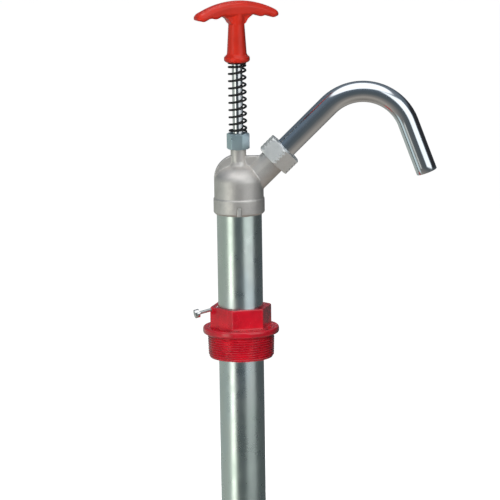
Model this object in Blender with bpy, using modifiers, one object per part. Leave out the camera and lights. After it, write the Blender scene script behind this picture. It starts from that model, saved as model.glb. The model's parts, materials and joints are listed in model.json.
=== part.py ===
"""Hand-operated lift pump for steel drums, with every piece as its own solid.

The frame is metres with +Z up. The origin is on the pump's axis, on the
underside of the bung adapter's flange. The spout points towards +X.
"""

import math

import bmesh
import bpy
from mathutils import Matrix, Vector

# Driving dimensions, in metres.
CLEAR = 0.0003  # gap between pieces that touch
FIT = 0.00035  # radial gap of turned pieces that slide on each other
OVERRUN = 0.0010  # of a cutter past the face that it opens

# Barrel and the drum it reaches into.
BARREL_RADIUS = 0.02025
BARREL_WALL = 0.0015
BARREL_FOOT_DEPTH = 0.8150  # below the flange

# Bung adapter, on the drum's two inch opening.
FLANGE_THICKNESS = 0.0062
FLANGE_EDGE = 0.0018
THREAD_LENGTH = 0.0220
THREAD_TAPER = 1 / 32
ADAPTER_HEX_WALL = 0.0042  # from the bore to a flat
ADAPTER_HEX_HEIGHT = 0.0185
ADAPTER_HEX_CHAMFER = 0.0008
ADAPTER_HEX_TURN = 14.4  # degrees from +X to a corner
ADAPTER_CORE_DEPTH = 0.0170  # wider cored part at the threaded end
ADAPTER_CORE_GAP = 0.0034  # of the cored part round the barrel
THREAD_WALL = 0.0062  # outside the cored part, at the flange
FLANGE_STEP = 0.00425  # of the flange past the thread
SEAL_CORD = 0.0019

# Set screw that clamps the barrel.
SCREW_RADIUS = 0.0016
SCREW_HEAD_RADIUS = 0.0039
SCREW_HEAD_HEIGHT = 0.0046
SCREW_SOCKET_RADIUS = 0.0017
SCREW_SOCKET_DEPTH = 0.0022
SCREW_REACH = 0.0102  # from the hexagon's corner to the head
SCREW_SLOPE = 11.5  # degrees, falling outwards
SCREW_DROP = 0.0027  # of its axis below the hexagon's top, at the corner
PAD_LENGTH = 0.0020

# Head casting.
COLLAR_BOTTOM = 0.1089  # above the flange's underside
COLLAR_WALL = 0.00245  # outside the barrel
COLLAR_HEIGHT = 0.0140
BODY_STEP = 0.0008  # of the body inside the collar
SHOULDER_HEIGHT = 0.0331  # of the straight side, from the collar's bottom
DOME_HEIGHT = 0.0100
NECK_WALL = 0.0019  # round the rod
NECK_TOP = 0.0630  # above the collar's bottom
HEAD_WALL = 0.0038
SOCKET_DEPTH = 0.0220
GASKET_THICKNESS = 0.0015
RIB_THICKNESS = 0.0070
RIB_DROP = 0.0016  # of its round below the shoulder
RIB_RISE = 0.0090  # of its shelf above the dome
RIB_OVERLAP = 0.0020  # into the rest of the casting
KEY_WIDTH = 0.0036
KEY_HEIGHT = 0.0083
KEY_DEPTH = 0.0017
KEY_GAP = 0.0007

# Outlet branch and spout.
BRANCH_ANGLE = 44.3  # degrees above the horizontal
BRANCH_START = 0.0171  # its axis meets the pump's axis this far above the collar's bottom
BRANCH_WALL = 0.002025  # round the spout
BRANCH_BORE = 0.0080
BRANCH_LENGTH = 0.0508
SPOUT_RADIUS = 0.009525
SPOUT_WALL = 0.0012
SPOUT_ENTRY = 0.0050  # of the tube inside the branch
SPOUT_RUN = 0.11345  # from the pump's axis to the bend
SPOUT_BEND_RADIUS = 0.0435
SPOUT_FALL_ANGLE = 69.9  # degrees below the horizontal
SPOUT_TAIL = 0.0478
UNION_WALL = 0.0035  # from the bore to a flat
NUT_CHAMFER = 0.0014
UNION_HEIGHT = 0.0159
UNION_TOP_WALL = 0.0024
FERRULE_HEIGHT = 0.0030
SPOUT_SEAL_HEIGHT = 0.0020

# Gland on the rod.
ROD_RADIUS = 0.00475
GLAND_WALL = 0.0017  # from the bore to a flat
GLAND_TURN = -8.5  # degrees from +X to a corner
GLAND_HEIGHT = 0.0144
GLAND_TOP_WALL = 0.0027
GLAND_TAKE_UP = 0.0006  # how far the nut can be tightened
PACKING_HEIGHT = 0.0018
PACKING_COUNT = 2
FOLLOWER_HEIGHT = 0.0018

# Cushion spring and T-handle.
SPRING_LENGTH = 0.0620
SPRING_RADIUS = 0.00745  # to the wire's centre
SPRING_WIRE = 0.00195
SPRING_CLOSED_TURNS = 0.5
SPRING_RAMP_TURNS = 0.5
SPRING_OPEN_TURNS = 8.25
SPRING_TRAVEL = 0.0280
WASHER_THICKNESS = 0.0011
WASHER_RADIUS = 0.0084
HANDLE_LENGTH = 0.0800
HANDLE_TURN = 25.0  # degrees about the pump's axis
HANDLE_HEIGHT = 0.0549  # from the collar's underside to the crest
HANDLE_SAG = 0.0110  # of the top at the tips
HANDLE_DEPTH = 0.0150
HANDLE_TIP_HEIGHT = 0.0048
HANDLE_MIDDLE_HEIGHT = 0.0130
HANDLE_SCALLOP = 0.0007  # depth of the finger hollows
HANDLE_CROWN = 0.0036
STEM_TOP_RADIUS = 0.0072
STEM_BOTTOM_RADIUS = 0.0089
STEM_COLLAR_RADIUS = 0.0116
STEM_COLLAR_HEIGHT = 0.0058
INSERT_WALL = 0.0012
INSERT_LENGTH = 0.0160
INSERT_DEPTH = 0.0090

# Piston on the lower end of the rod.
PISTON_CLEARANCE = 0.0570  # from the cage to the rod's shoulder with the spring squeezed
TAIL_RADIUS = 0.0030
STOP_RADIUS = 0.0080
STOP_THICKNESS = 0.0020
VALVE_LIFT = 0.0035
VALVE_RADIUS = 0.0130
VALVE_THICKNESS = 0.0020
HUB_RADIUS = 0.0055
PISTON_HEIGHT = 0.0080
CUP_WALL = 0.0017
CUP_BASE = 0.0020
CUP_LIP = 0.0105
SPIGOT_RADIUS = 0.0125
PORT_RADIUS = 0.0024
PORT_CIRCLE = 0.0092
PORT_COUNT = 6
PLATE_THICKNESS = 0.0030
LOCK_WASHER_THICKNESS = 0.0010
PISTON_NUT_FLATS = 0.0110
PISTON_NUT_HEIGHT = 0.0055
PISTON_NUT_CHAMFER = 0.0008
ROD_TAIL = 0.0030  # of the rod below its nut

# Foot valve and strainer.
FOOT_BODY_HEIGHT = 0.0170
FOOT_FLANGE = 0.0030
SEAT_RADIUS = 0.0090
BALL_RADIUS = 0.0120
CAGE_HEIGHT = 0.0300
CAGE_WALL = 0.0016
CAGE_TOP = 0.0030
CAGE_PORT_RADIUS = 0.0042
CAGE_PORT_CIRCLE = 0.0105
CAGE_PORT_COUNT = 5
STRAINER_RADIUS = 0.0180
STRAINER_WALL = 0.0016
STRAINER_HEIGHT = 0.0220
STRAINER_HOLE = 0.0028
STRAINER_HOLE_CIRCLE = 0.0095
STRAINER_FLOOR_HOLES = 6
STRAINER_LARGE_HOLE = 0.0034
STRAINER_SIDE_HOLES = 8
RIVET_RADIUS = 0.0016
RIVET_DEPTH = 0.0045  # of its end inside the barrel's bore
RIVET_HEAD_RADIUS = 0.0030
RIVET_HEAD_HEIGHT = 0.0008
RIVET_COUNT = 3
RIVET_HOLE_LENGTH = 0.0060
SEAT_EDGE = 0.0015  # conical edge of the ball's seat

# Sides of round pieces.
FINE = 40
MEDIUM = 28
SMALL = 20
DRILLED = 16
TINY = 12

# Sizes that follow.
BORE = BARREL_RADIUS - BARREL_WALL
HEX_TOP = FLANGE_THICKNESS + ADAPTER_HEX_HEIGHT
ADAPTER_BORE = BARREL_RADIUS + CLEAR
ADAPTER_HEX_FLATS = 2 * (ADAPTER_BORE + ADAPTER_HEX_WALL)
HEX_CORNER = ADAPTER_HEX_FLATS / math.sqrt(3)
ADAPTER_CORE = ADAPTER_BORE + ADAPTER_CORE_GAP
THREAD_RADIUS = ADAPTER_CORE + THREAD_WALL
FLANGE_RADIUS = THREAD_RADIUS + FLANGE_STEP
COLLAR_RADIUS = BARREL_RADIUS + CLEAR + COLLAR_WALL
BODY_RADIUS = COLLAR_RADIUS - BODY_STEP
SOCKET_TOP = COLLAR_BOTTOM + SOCKET_DEPTH
BARREL_TOP = SOCKET_TOP - GASKET_THICKNESS - 2 * CLEAR
SHOULDER = COLLAR_BOTTOM + SHOULDER_HEIGHT
DOME_TOP = SHOULDER + DOME_HEIGHT
NECK_END = COLLAR_BOTTOM + NECK_TOP
ROD_BORE = ROD_RADIUS + FIT
NECK_RADIUS = ROD_BORE + NECK_WALL
GLAND_FLATS = 2 * (NECK_RADIUS + CLEAR + GLAND_WALL)
INSERT_RADIUS = ROD_BORE + INSERT_WALL
BRANCH_RADIUS = SPOUT_RADIUS + FIT + BRANCH_WALL
UNION_FLATS = 2 * (BRANCH_RADIUS + CLEAR + UNION_WALL)
PACKING_TOP = NECK_END + PACKING_COUNT * (PACKING_HEIGHT + CLEAR)
FOLLOWER_BOTTOM = PACKING_TOP + GLAND_TAKE_UP + CLEAR
GLAND_CEILING = FOLLOWER_BOTTOM + FOLLOWER_HEIGHT + CLEAR
GLAND_TOP = GLAND_CEILING + GLAND_TOP_WALL
SPRING_BOTTOM = GLAND_TOP + CLEAR
SPRING_TOP = SPRING_BOTTOM + SPRING_LENGTH
HANDLE_BOTTOM = SPRING_TOP + WASHER_THICKNESS + 2 * CLEAR
HANDLE_CREST = HANDLE_BOTTOM + HANDLE_HEIGHT
ROD_TOP = HANDLE_BOTTOM + INSERT_DEPTH + INSERT_LENGTH - CLEAR
BRANCH_LEVEL = COLLAR_BOTTOM + BRANCH_START
FERRULE_BOTTOM = BRANCH_LENGTH + SPOUT_SEAL_HEIGHT + 2 * CLEAR
UNION_CEILING = FERRULE_BOTTOM + FERRULE_HEIGHT + CLEAR
UNION_TOP = UNION_CEILING + UNION_TOP_WALL
FOOT_Z = -BARREL_FOOT_DEPTH
FOOT_BODY_TOP = FOOT_Z + FOOT_BODY_HEIGHT
CAGE_BOTTOM = FOOT_BODY_TOP + CLEAR
CAGE_END = CAGE_BOTTOM + CAGE_HEIGHT
ROD_SHOULDER = CAGE_END + SPRING_TRAVEL + PISTON_CLEARANCE
PISTON_TOP = ROD_SHOULDER - CLEAR - STOP_THICKNESS - CLEAR - VALVE_LIFT - VALVE_THICKNESS - CLEAR
CUP_TOP_OF_BASE = PISTON_TOP - PISTON_HEIGHT - CLEAR
PLATE_TOP = CUP_TOP_OF_BASE - CUP_BASE - CLEAR
PLATE_BOTTOM = PLATE_TOP - PLATE_THICKNESS
PISTON_NUT_TOP = PLATE_BOTTOM - LOCK_WASHER_THICKNESS - 2 * CLEAR
PISTON_NUT_BOTTOM = PISTON_NUT_TOP - PISTON_NUT_HEIGHT
STRAINER_TOP = FOOT_Z - FOOT_FLANGE - 2 * CLEAR

MODEL = bpy.data.collections.new("drum_barrel_pump")
CUTTERS = bpy.data.collections.new("cutters")
LOOKS = {}


def clear_scene():
    for obj in list(bpy.data.objects):
        bpy.data.objects.remove(obj, do_unlink=True)
    bpy.context.scene.collection.children.link(MODEL)
    bpy.context.scene.collection.children.link(CUTTERS)


def material(name, colour, roughness, metallic):
    look = bpy.data.materials.new(name)
    look.use_nodes = True
    shader = look.node_tree.nodes["Principled BSDF"]
    shader.inputs["Base Color"].default_value = (*colour, 1.0)
    shader.inputs["Roughness"].default_value = roughness
    shader.inputs["Metallic"].default_value = metallic
    look.diffuse_color = (*colour, 1.0)
    return look


def make_materials():
    LOOKS["plastic"] = ("red_plastic", (0.72, 0.05, 0.03), 0.40, 0.0)
    LOOKS["paint"] = ("red_paint", (0.66, 0.01, 0.03), 0.25, 0.0)
    LOOKS["casting"] = ("die_cast", (0.52, 0.50, 0.48), 0.50, 0.9)
    LOOKS["zinc"] = ("zinc_plate", (0.60, 0.64, 0.66), 0.30, 1.0)
    LOOKS["chrome"] = ("chrome", (0.75, 0.77, 0.80), 0.08, 1.0)
    LOOKS["steel"] = ("bright_steel", (0.62, 0.62, 0.62), 0.20, 1.0)
    LOOKS["black"] = ("black_spring_steel", (0.03, 0.03, 0.03), 0.40, 0.8)
    LOOKS["brass"] = ("brass", (0.75, 0.55, 0.25), 0.30, 1.0)
    LOOKS["rubber"] = ("nitrile_rubber", (0.03, 0.03, 0.03), 0.70, 0.0)
    LOOKS["polymer"] = ("white_polymer", (0.80, 0.79, 0.75), 0.50, 0.0)


def finish(obj, look, parent=None, hidden=False):
    """Put a shape in its collection, with its own material."""
    (CUTTERS if hidden else MODEL).objects.link(obj)
    obj.parent = parent
    if hidden:
        obj.hide_render = True
        obj.display_type = "WIRE"
        return obj
    name, colour, roughness, metallic = LOOKS[look]
    obj.data.materials.append(material(f"{obj.name}_{name}", colour, roughness, metallic))
    return obj


def axis_empty(name, point, direction=(0, 0, 1)):
    """An empty whose local Z is a joint's axis."""
    empty = bpy.data.objects.new(name, None)
    empty.location = point
    empty.rotation_euler = Vector(direction).to_track_quat("Z", "Y").to_euler()
    MODEL.objects.link(empty)
    return empty


def soften(mesh, angle=35.0):
    mesh.shade_smooth()
    mesh.set_sharp_from_angle(angle=math.radians(angle))


def arc(centre_r, centre_z, radius_r, radius_z, start, end, steps):
    """Points of an elliptical arc in a profile, angles in degrees from +R."""
    angles = [math.radians(start + (end - start) * i / steps) for i in range(steps + 1)]
    return [(centre_r + radius_r * math.cos(a), centre_z + radius_z * math.sin(a)) for a in angles]


def turned(name, profile, look=None, sides=MEDIUM, parent=None):
    """A profile of (radius, height) turned about local Z.

    It runs down the outer side, and closes on itself unless it ends on the axis.
    """
    mesh = bpy.data.meshes.new(name)
    count = len(profile)
    edges = [(i, i + 1) for i in range(count - 1)]
    if profile[0][0] > 0:
        edges.append((count - 1, 0))
    mesh.from_pydata([(r, 0, z) for r, z in profile], edges, [])
    obj = bpy.data.objects.new(name, mesh)
    finish(obj, look, parent, hidden=look is None)
    screw = obj.modifiers.new("Screw", "SCREW")
    screw.steps = sides
    screw.render_steps = sides
    screw.use_merge_vertices = True
    screw.merge_threshold = 0.00001
    screw.use_smooth_shade = True
    return obj


def solid(radius, bottom, top):
    """Profile of a plain cylinder."""
    return [(0, top), (radius, top), (radius, bottom), (0, bottom)]


def ring(outer, inner, bottom, top):
    """Profile of a plain ring."""
    return [(outer, top), (outer, bottom), (inner, bottom), (inner, top)]


def bored(name, profile, bores, look, sides=MEDIUM, parent=None):
    """A turned solid with turned bores cut out of it."""
    obj = turned(name, profile, look, sides, parent)
    for number, bore in enumerate(bores):
        combine(obj, turned(f"{name}_bore_{number}", bore, None, sides, parent))
    return obj


def combine(obj, other, operation="DIFFERENCE"):
    boolean = obj.modifiers.new(other.name, "BOOLEAN")
    boolean.operation = operation
    boolean.solver = "EXACT"
    boolean.object = other
    return obj


def hexagon(name, flats, bottom, top, chamfer, look, parent=None, turn=0.0):
    """A hexagonal prism whose corners are chamfered at both ends."""
    corner = flats / math.sqrt(3)
    shape = bmesh.new()
    bmesh.ops.create_cone(
        shape, cap_ends=True, segments=6, radius1=corner, radius2=corner, depth=top - bottom
    )
    # A new cone has its first corner on +Y.
    spin = Matrix.Rotation(math.radians(turn - 90), 4, "Z")
    lift = Matrix.Translation((0, 0, (top + bottom) / 2))
    bmesh.ops.transform(shape, matrix=lift @ spin, verts=shape.verts)
    mesh = bpy.data.meshes.new(name)
    shape.to_mesh(mesh)
    shape.free()
    obj = bpy.data.objects.new(name, mesh)
    finish(obj, look, parent)
    outer = corner + 0.0005
    inner = corner - chamfer
    rise = (outer - inner) * math.tan(math.radians(30))
    blank = [
        (0, top),
        (inner, top),
        (outer, top - rise),
        (outer, bottom + rise),
        (inner, bottom),
        (0, bottom),
    ]
    return combine(obj, turned(f"{name}_blank", blank, None, MEDIUM, parent), "INTERSECT")


def curve_mesh(name, points, radius, sides, look=None, parent=None):
    """A round bar along points, as a closed mesh."""
    curve = bpy.data.curves.new(name, "CURVE")
    curve.dimensions = "3D"
    curve.bevel_depth = radius
    curve.bevel_resolution = (sides - 4) // 2
    curve.use_fill_caps = True
    curve.twist_mode = "MINIMUM"
    spline = curve.splines.new("POLY")
    spline.points.add(len(points) - 1)
    for point, place in zip(spline.points, points):
        point.co = (*place, 1)
    source = bpy.data.objects.new(f"{name}_path", curve)
    bpy.context.scene.collection.objects.link(source)
    graph = bpy.context.evaluated_depsgraph_get()
    mesh = bpy.data.meshes.new_from_object(source.evaluated_get(graph))
    bpy.data.objects.remove(source)
    bpy.data.curves.remove(curve)
    shape = bmesh.new()
    shape.from_mesh(mesh)
    bmesh.ops.remove_doubles(shape, verts=shape.verts, dist=0.000001)
    bmesh.ops.recalc_face_normals(shape, faces=shape.faces)
    shape.to_mesh(mesh)
    shape.free()
    mesh.name = name
    soften(mesh)
    return finish(bpy.data.objects.new(name, mesh), look, parent, hidden=look is None)


def loft(name, sections, look, parent=None):
    """A closed skin over rings of points that all have the same count."""
    shape = bmesh.new()
    rings = [[shape.verts.new(point) for point in section] for section in sections]
    for first, second in zip(rings, rings[1:]):
        for i in range(len(first)):
            j = (i + 1) % len(first)
            shape.faces.new((first[i], first[j], second[j], second[i]))
    shape.faces.new(rings[0])
    shape.faces.new(rings[-1])
    bmesh.ops.recalc_face_normals(shape, faces=shape.faces)
    mesh = bpy.data.meshes.new(name)
    shape.to_mesh(mesh)
    shape.free()
    soften(mesh)
    return finish(bpy.data.objects.new(name, mesh), look, parent, hidden=look is None)


def plate(name, outline, thickness):
    """A flat outline of (x, z) points made into a plate across Y."""
    front = [(x, -thickness / 2, z) for x, z in outline]
    back = [(x, thickness / 2, z) for x, z in outline]
    return loft(name, [front, back], None)


def box(name, size, centre, parent=None):
    shape = bmesh.new()
    bmesh.ops.create_cube(shape, size=1.0)
    matrix = Matrix.Translation(centre) @ Matrix.Diagonal((*size, 1))
    bmesh.ops.transform(shape, matrix=matrix, verts=shape.verts)
    mesh = bpy.data.meshes.new(name)
    shape.to_mesh(mesh)
    shape.free()
    return finish(bpy.data.objects.new(name, mesh), None, parent, hidden=True)


def round_cutter(name, radius, length, point, direction, sides=SMALL):
    """A cylinder that starts at a point and runs along a direction."""
    cutter = turned(name, solid(radius, 0, length), None, sides)
    cutter.location = point
    cutter.rotation_euler = Vector(direction).to_track_quat("Z", "Y").to_euler()
    return cutter


def drill_ports(obj, radius, circle, count, bottom, top):
    """Holes in a ring through a wall between two heights."""
    for number in range(count):
        angle = 2 * math.pi * number / count
        profile = solid(radius, bottom - OVERRUN, top + OVERRUN)
        cutter = turned(f"{obj.name}_port_{number}", profile, None, TINY)
        cutter.location = (circle * math.cos(angle), circle * math.sin(angle), 0)
        combine(obj, cutter)


# Adapter and its clamp.


def screw_axis():
    """The corner where the set screw comes out, and its direction outwards."""
    angle = math.radians(180 + ADAPTER_HEX_TURN)
    slope = math.radians(SCREW_SLOPE)
    point = Vector((HEX_CORNER * math.cos(angle), HEX_CORNER * math.sin(angle), HEX_TOP - SCREW_DROP))
    outward = Vector(
        (math.cos(slope) * math.cos(angle), math.cos(slope) * math.sin(angle), -math.sin(slope))
    )
    return point, outward


def bung_adapter(screw_parent):
    adapter = hexagon(
        "bung_adapter",
        ADAPTER_HEX_FLATS,
        FLANGE_THICKNESS / 2,
        HEX_TOP,
        ADAPTER_HEX_CHAMFER,
        "paint",
        turn=ADAPTER_HEX_TURN,
    )
    edge = FLANGE_EDGE
    tip = THREAD_RADIUS - THREAD_LENGTH * THREAD_TAPER
    base = turned(
        "adapter_base",
        [(0, FLANGE_THICKNESS)]
        + arc(FLANGE_RADIUS - edge, FLANGE_THICKNESS - edge, edge, edge, 90, 0, 2)
        + arc(FLANGE_RADIUS - edge, edge, edge, edge, 0, -90, 2)
        + [
            (THREAD_RADIUS, 0),
            (tip, -THREAD_LENGTH + edge),
            (tip - edge, -THREAD_LENGTH),
            (0, -THREAD_LENGTH),
        ],
        None,
        FINE,
    )
    combine(adapter, base, "UNION")
    seal_z = FLANGE_THICKNESS + SEAL_CORD
    groove = SEAL_CORD / 2 + FIT
    bore = [
        (0, HEX_TOP + OVERRUN),
        (ADAPTER_BORE, HEX_TOP + OVERRUN),
        (ADAPTER_BORE, seal_z + groove),
        (ADAPTER_BORE + SEAL_CORD + FIT, seal_z + groove),
        (ADAPTER_BORE + SEAL_CORD + FIT, seal_z - groove),
        (ADAPTER_BORE, seal_z - groove),
        (ADAPTER_BORE, ADAPTER_CORE_DEPTH - THREAD_LENGTH + ADAPTER_CORE_GAP),
        (ADAPTER_CORE, ADAPTER_CORE_DEPTH - THREAD_LENGTH),
        (ADAPTER_CORE, -THREAD_LENGTH - OVERRUN),
        (0, -THREAD_LENGTH - OVERRUN),
    ]
    combine(adapter, turned("adapter_bore", bore, None, FINE))
    depth = (HEX_CORNER - BARREL_RADIUS + 0.004) / math.cos(math.radians(SCREW_SLOPE))
    tapped = turned("screw_hole", solid(SCREW_RADIUS + FIT, -depth, 0.004), None, SMALL, screw_parent)
    combine(adapter, tapped)

    seal = turned(
        "adapter_seal_ring",
        arc(ADAPTER_BORE + SEAL_CORD / 2, 0, SEAL_CORD / 2, SEAL_CORD / 2, 90, -210, 5),
        "rubber",
        FINE,
    )
    seal.location.z = seal_z


def clamp(screw_parent):
    """Set screw and the soft pad between it and the barrel."""
    slope = math.radians(SCREW_SLOPE)
    barrel = (HEX_CORNER - BARREL_RADIUS) / math.cos(slope)
    tilt = SCREW_RADIUS * math.tan(slope)
    pad_start = -barrel + tilt + CLEAR * 1.5
    turned(
        "clamp_pad",
        solid(SCREW_RADIUS, pad_start, pad_start + PAD_LENGTH),
        "polymer",
        SMALL,
        screw_parent,
    )
    tip = pad_start + PAD_LENGTH + CLEAR
    head_top = SCREW_REACH + SCREW_HEAD_HEIGHT
    chamfer = 0.0006
    screw = turned(
        "set_screw",
        [
            (0, head_top),
            (SCREW_HEAD_RADIUS - chamfer, head_top),
            (SCREW_HEAD_RADIUS, head_top - chamfer),
            (SCREW_HEAD_RADIUS, SCREW_REACH),
            (SCREW_RADIUS, SCREW_REACH),
            (SCREW_RADIUS, tip),
            (0, tip),
        ],
        "steel",
        SMALL,
        screw_parent,
    )
    recess = solid(SCREW_SOCKET_RADIUS, head_top - SCREW_SOCKET_DEPTH, head_top + OVERRUN)
    combine(screw, turned("screw_socket", recess, None, 6, screw_parent))


# Barrel and head.


def barrel():
    tube = turned("barrel_tube", ring(BARREL_RADIUS, BORE, FOOT_Z, BARREL_TOP), "zinc", FINE)
    for number, direction in enumerate(rivet_directions()):
        start = direction * (BORE - 0.002)
        start.z = rivet_level()
        hole = round_cutter(
            f"rivet_hole_{number}", RIVET_RADIUS + FIT, RIVET_HOLE_LENGTH, start, direction, DRILLED
        )
        combine(tube, hole)


def pump_head(branch_parent):
    edge = 0.0006
    chamfer = 0.0016
    collar_top = COLLAR_BOTTOM + COLLAR_HEIGHT
    flare = 0.0030
    head = turned(
        "pump_head",
        [(0, NECK_END), (NECK_RADIUS - edge, NECK_END), (NECK_RADIUS, NECK_END - edge)]
        + arc(NECK_RADIUS + flare, DOME_TOP + flare - 0.0010, flare, flare, 180, 250, 3)
        + arc(0, SHOULDER, BODY_RADIUS, DOME_HEIGHT, 66, 0, 6)
        + [
            (BODY_RADIUS, collar_top + edge),
            (COLLAR_RADIUS, collar_top),
            (COLLAR_RADIUS, COLLAR_BOTTOM + chamfer),
            (COLLAR_RADIUS - chamfer, COLLAR_BOTTOM),
            (0, COLLAR_BOTTOM),
        ],
        "casting",
        FINE,
    )
    branch = turned("branch_solid", solid(BRANCH_RADIUS, 0, BRANCH_LENGTH), None, MEDIUM, branch_parent)
    combine(head, branch, "UNION")
    combine(head, rib(), "UNION")
    crown = DOME_HEIGHT - HEAD_WALL
    inside = BODY_RADIUS - HEAD_WALL
    chamber = (
        [(0, NECK_END + OVERRUN), (ROD_BORE, NECK_END + OVERRUN)]
        + arc(0, SHOULDER, inside, crown, 70, 0, 4)
        + [
            (inside, SOCKET_TOP),
            (BARREL_RADIUS + CLEAR, SOCKET_TOP),
            (BARREL_RADIUS + CLEAR, COLLAR_BOTTOM - OVERRUN),
            (0, COLLAR_BOTTOM - OVERRUN),
        ]
    )
    chamber.insert(2, (ROD_BORE, SHOULDER + crown - 0.0004))
    combine(head, turned("head_chamber", chamber, None, FINE))
    seat = BRANCH_LENGTH - SPOUT_ENTRY - CLEAR
    waterway = [
        (0, BRANCH_LENGTH + OVERRUN),
        (SPOUT_RADIUS + FIT, BRANCH_LENGTH + OVERRUN),
        (SPOUT_RADIUS + FIT, seat),
        (BRANCH_BORE, seat),
        (BRANCH_BORE, 0),
        (0, 0),
    ]
    combine(head, turned("branch_bore", waterway, None, MEDIUM, branch_parent))
    depth = KEY_DEPTH + CLEAR + OVERRUN
    height = KEY_HEIGHT + KEY_GAP + OVERRUN
    slot = box(
        "key_slot",
        (KEY_WIDTH + 2 * KEY_GAP, depth, height),
        (0, depth / 2 - COLLAR_RADIUS - OVERRUN, COLLAR_BOTTOM + height / 2 - OVERRUN),
    )
    combine(head, slot)


def rib():
    """Flat rib of the casting, in the spout's plane."""
    outline = arc(0, SHOULDER - RIB_DROP, BODY_RADIUS, BODY_RADIUS, 184, 105, 10)
    shelf = DOME_TOP + RIB_RISE
    angle = math.radians(BRANCH_ANGLE)
    outline += [
        (NECK_RADIUS - RIB_OVERLAP, outline[-1][1]),
        (NECK_RADIUS - RIB_OVERLAP, shelf),
        (shelf - BRANCH_LEVEL - BRANCH_RADIUS * 0.8 / math.cos(angle), shelf),
        (BODY_RADIUS * 0.9, shelf - BRANCH_RADIUS),
        (BODY_RADIUS * 0.9, SHOULDER - RIB_OVERLAP),
    ]
    return plate("rib_plate", outline, RIB_THICKNESS)


def head_details():
    turned(
        "head_gasket",
        ring(BARREL_RADIUS, BORE, BARREL_TOP + CLEAR, BARREL_TOP + CLEAR + GASKET_THICKNESS),
        "rubber",
        FINE,
    )
    half = KEY_WIDTH / 2
    round_top = arc(0, COLLAR_BOTTOM + KEY_HEIGHT - half, half, half, 180, 0, 6)
    outline = round_top + [(half, COLLAR_BOTTOM + CLEAR), (-half, COLLAR_BOTTOM + CLEAR)]
    back = -COLLAR_RADIUS + KEY_DEPTH
    sections = [[(x, y, z) for x, z in outline] for y in (back, back - KEY_DEPTH)]
    loft("locating_key", sections, "steel")


def gland():
    for number in range(PACKING_COUNT):
        bottom = NECK_END + CLEAR + number * (PACKING_HEIGHT + CLEAR)
        profile = ring(NECK_RADIUS, ROD_BORE, bottom, bottom + PACKING_HEIGHT)
        turned(f"packing_ring_{number + 1}", profile, "polymer", SMALL)
    profile = ring(NECK_RADIUS, ROD_BORE, FOLLOWER_BOTTOM, FOLLOWER_BOTTOM + FOLLOWER_HEIGHT)
    turned("gland_follower", profile, "brass", SMALL)
    bottom = GLAND_TOP - GLAND_HEIGHT
    nut = hexagon("gland_nut", GLAND_FLATS, bottom, GLAND_TOP, NUT_CHAMFER, "zinc", turn=GLAND_TURN)
    inside = [
        (0, GLAND_TOP + OVERRUN),
        (ROD_BORE, GLAND_TOP + OVERRUN),
        (ROD_BORE, GLAND_CEILING),
        (NECK_RADIUS + CLEAR, GLAND_CEILING),
        (NECK_RADIUS + CLEAR, bottom - OVERRUN),
        (0, bottom - OVERRUN),
    ]
    combine(nut, turned("gland_nut_bore", inside, None, MEDIUM))


# Spout.


def spout(branch_parent):
    seal_bottom = BRANCH_LENGTH + CLEAR
    turned(
        "spout_seal",
        ring(BRANCH_RADIUS, SPOUT_RADIUS + FIT, seal_bottom, seal_bottom + SPOUT_SEAL_HEIGHT),
        "rubber",
        MEDIUM,
        branch_parent,
    )
    turned(
        "spout_ferrule",
        ring(BRANCH_RADIUS, SPOUT_RADIUS + FIT, FERRULE_BOTTOM, FERRULE_BOTTOM + FERRULE_HEIGHT),
        "brass",
        MEDIUM,
        branch_parent,
    )
    bottom = UNION_TOP - UNION_HEIGHT
    # A corner of the nut faces along -Y, which is its frame's -X or +X.
    turn = union_turn()
    nut = hexagon("union_nut", UNION_FLATS, bottom, UNION_TOP, NUT_CHAMFER, "casting", branch_parent, turn)
    inside = [
        (0, UNION_TOP + OVERRUN),
        (SPOUT_RADIUS + FIT, UNION_TOP + OVERRUN),
        (SPOUT_RADIUS + FIT, UNION_CEILING),
        (BRANCH_RADIUS + CLEAR, UNION_CEILING),
        (BRANCH_RADIUS + CLEAR, bottom - OVERRUN),
        (0, bottom - OVERRUN),
    ]
    combine(nut, turned("union_nut_bore", inside, None, MEDIUM, branch_parent))

    centre = spout_path(0.0)
    hollow = spout_path(OVERRUN)
    sides = MEDIUM - 4
    tube = curve_mesh("spout_tube", centre, SPOUT_RADIUS, sides, "chrome")
    combine(tube, curve_mesh("spout_hollow", hollow, SPOUT_RADIUS - SPOUT_WALL, sides))
    tube.data.transform(Matrix.Translation((0, 0, -BRANCH_LEVEL)))
    tube.location = (0, 0, BRANCH_LEVEL)


def union_turn():
    """Degrees from the branch frame's X axis to the world's Y axis."""
    rise = math.radians(BRANCH_ANGLE)
    frame = Vector((math.cos(rise), 0, math.sin(rise))).to_track_quat("Z", "Y").to_matrix()
    local = frame.inverted() @ Vector((0, 1, 0))
    return math.degrees(math.atan2(local.y, local.x))


def spout_path(overrun):
    """Centreline of the spout, longer at both ends by the overrun."""
    rise = math.radians(BRANCH_ANGLE)
    fall = math.radians(SPOUT_FALL_ANGLE)
    up = Vector((math.cos(rise), 0, math.sin(rise)))
    down = Vector((math.cos(fall), 0, -math.sin(fall)))
    origin = Vector((0, 0, BRANCH_LEVEL))
    bend_start = origin + up * SPOUT_RUN
    centre = bend_start + Vector((up.z, 0, -up.x)) * SPOUT_BEND_RADIUS
    points = [origin + up * (BRANCH_LENGTH - SPOUT_ENTRY - overrun)]
    steps = 12
    for i in range(steps + 1):
        angle = rise - (rise + fall) * i / steps
        points.append(centre + Vector((-math.sin(angle), 0, math.cos(angle))) * SPOUT_BEND_RADIUS)
    points.append(points[-1] + down * (SPOUT_TAIL + overrun))
    return points


# Rod, spring and handle.


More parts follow.
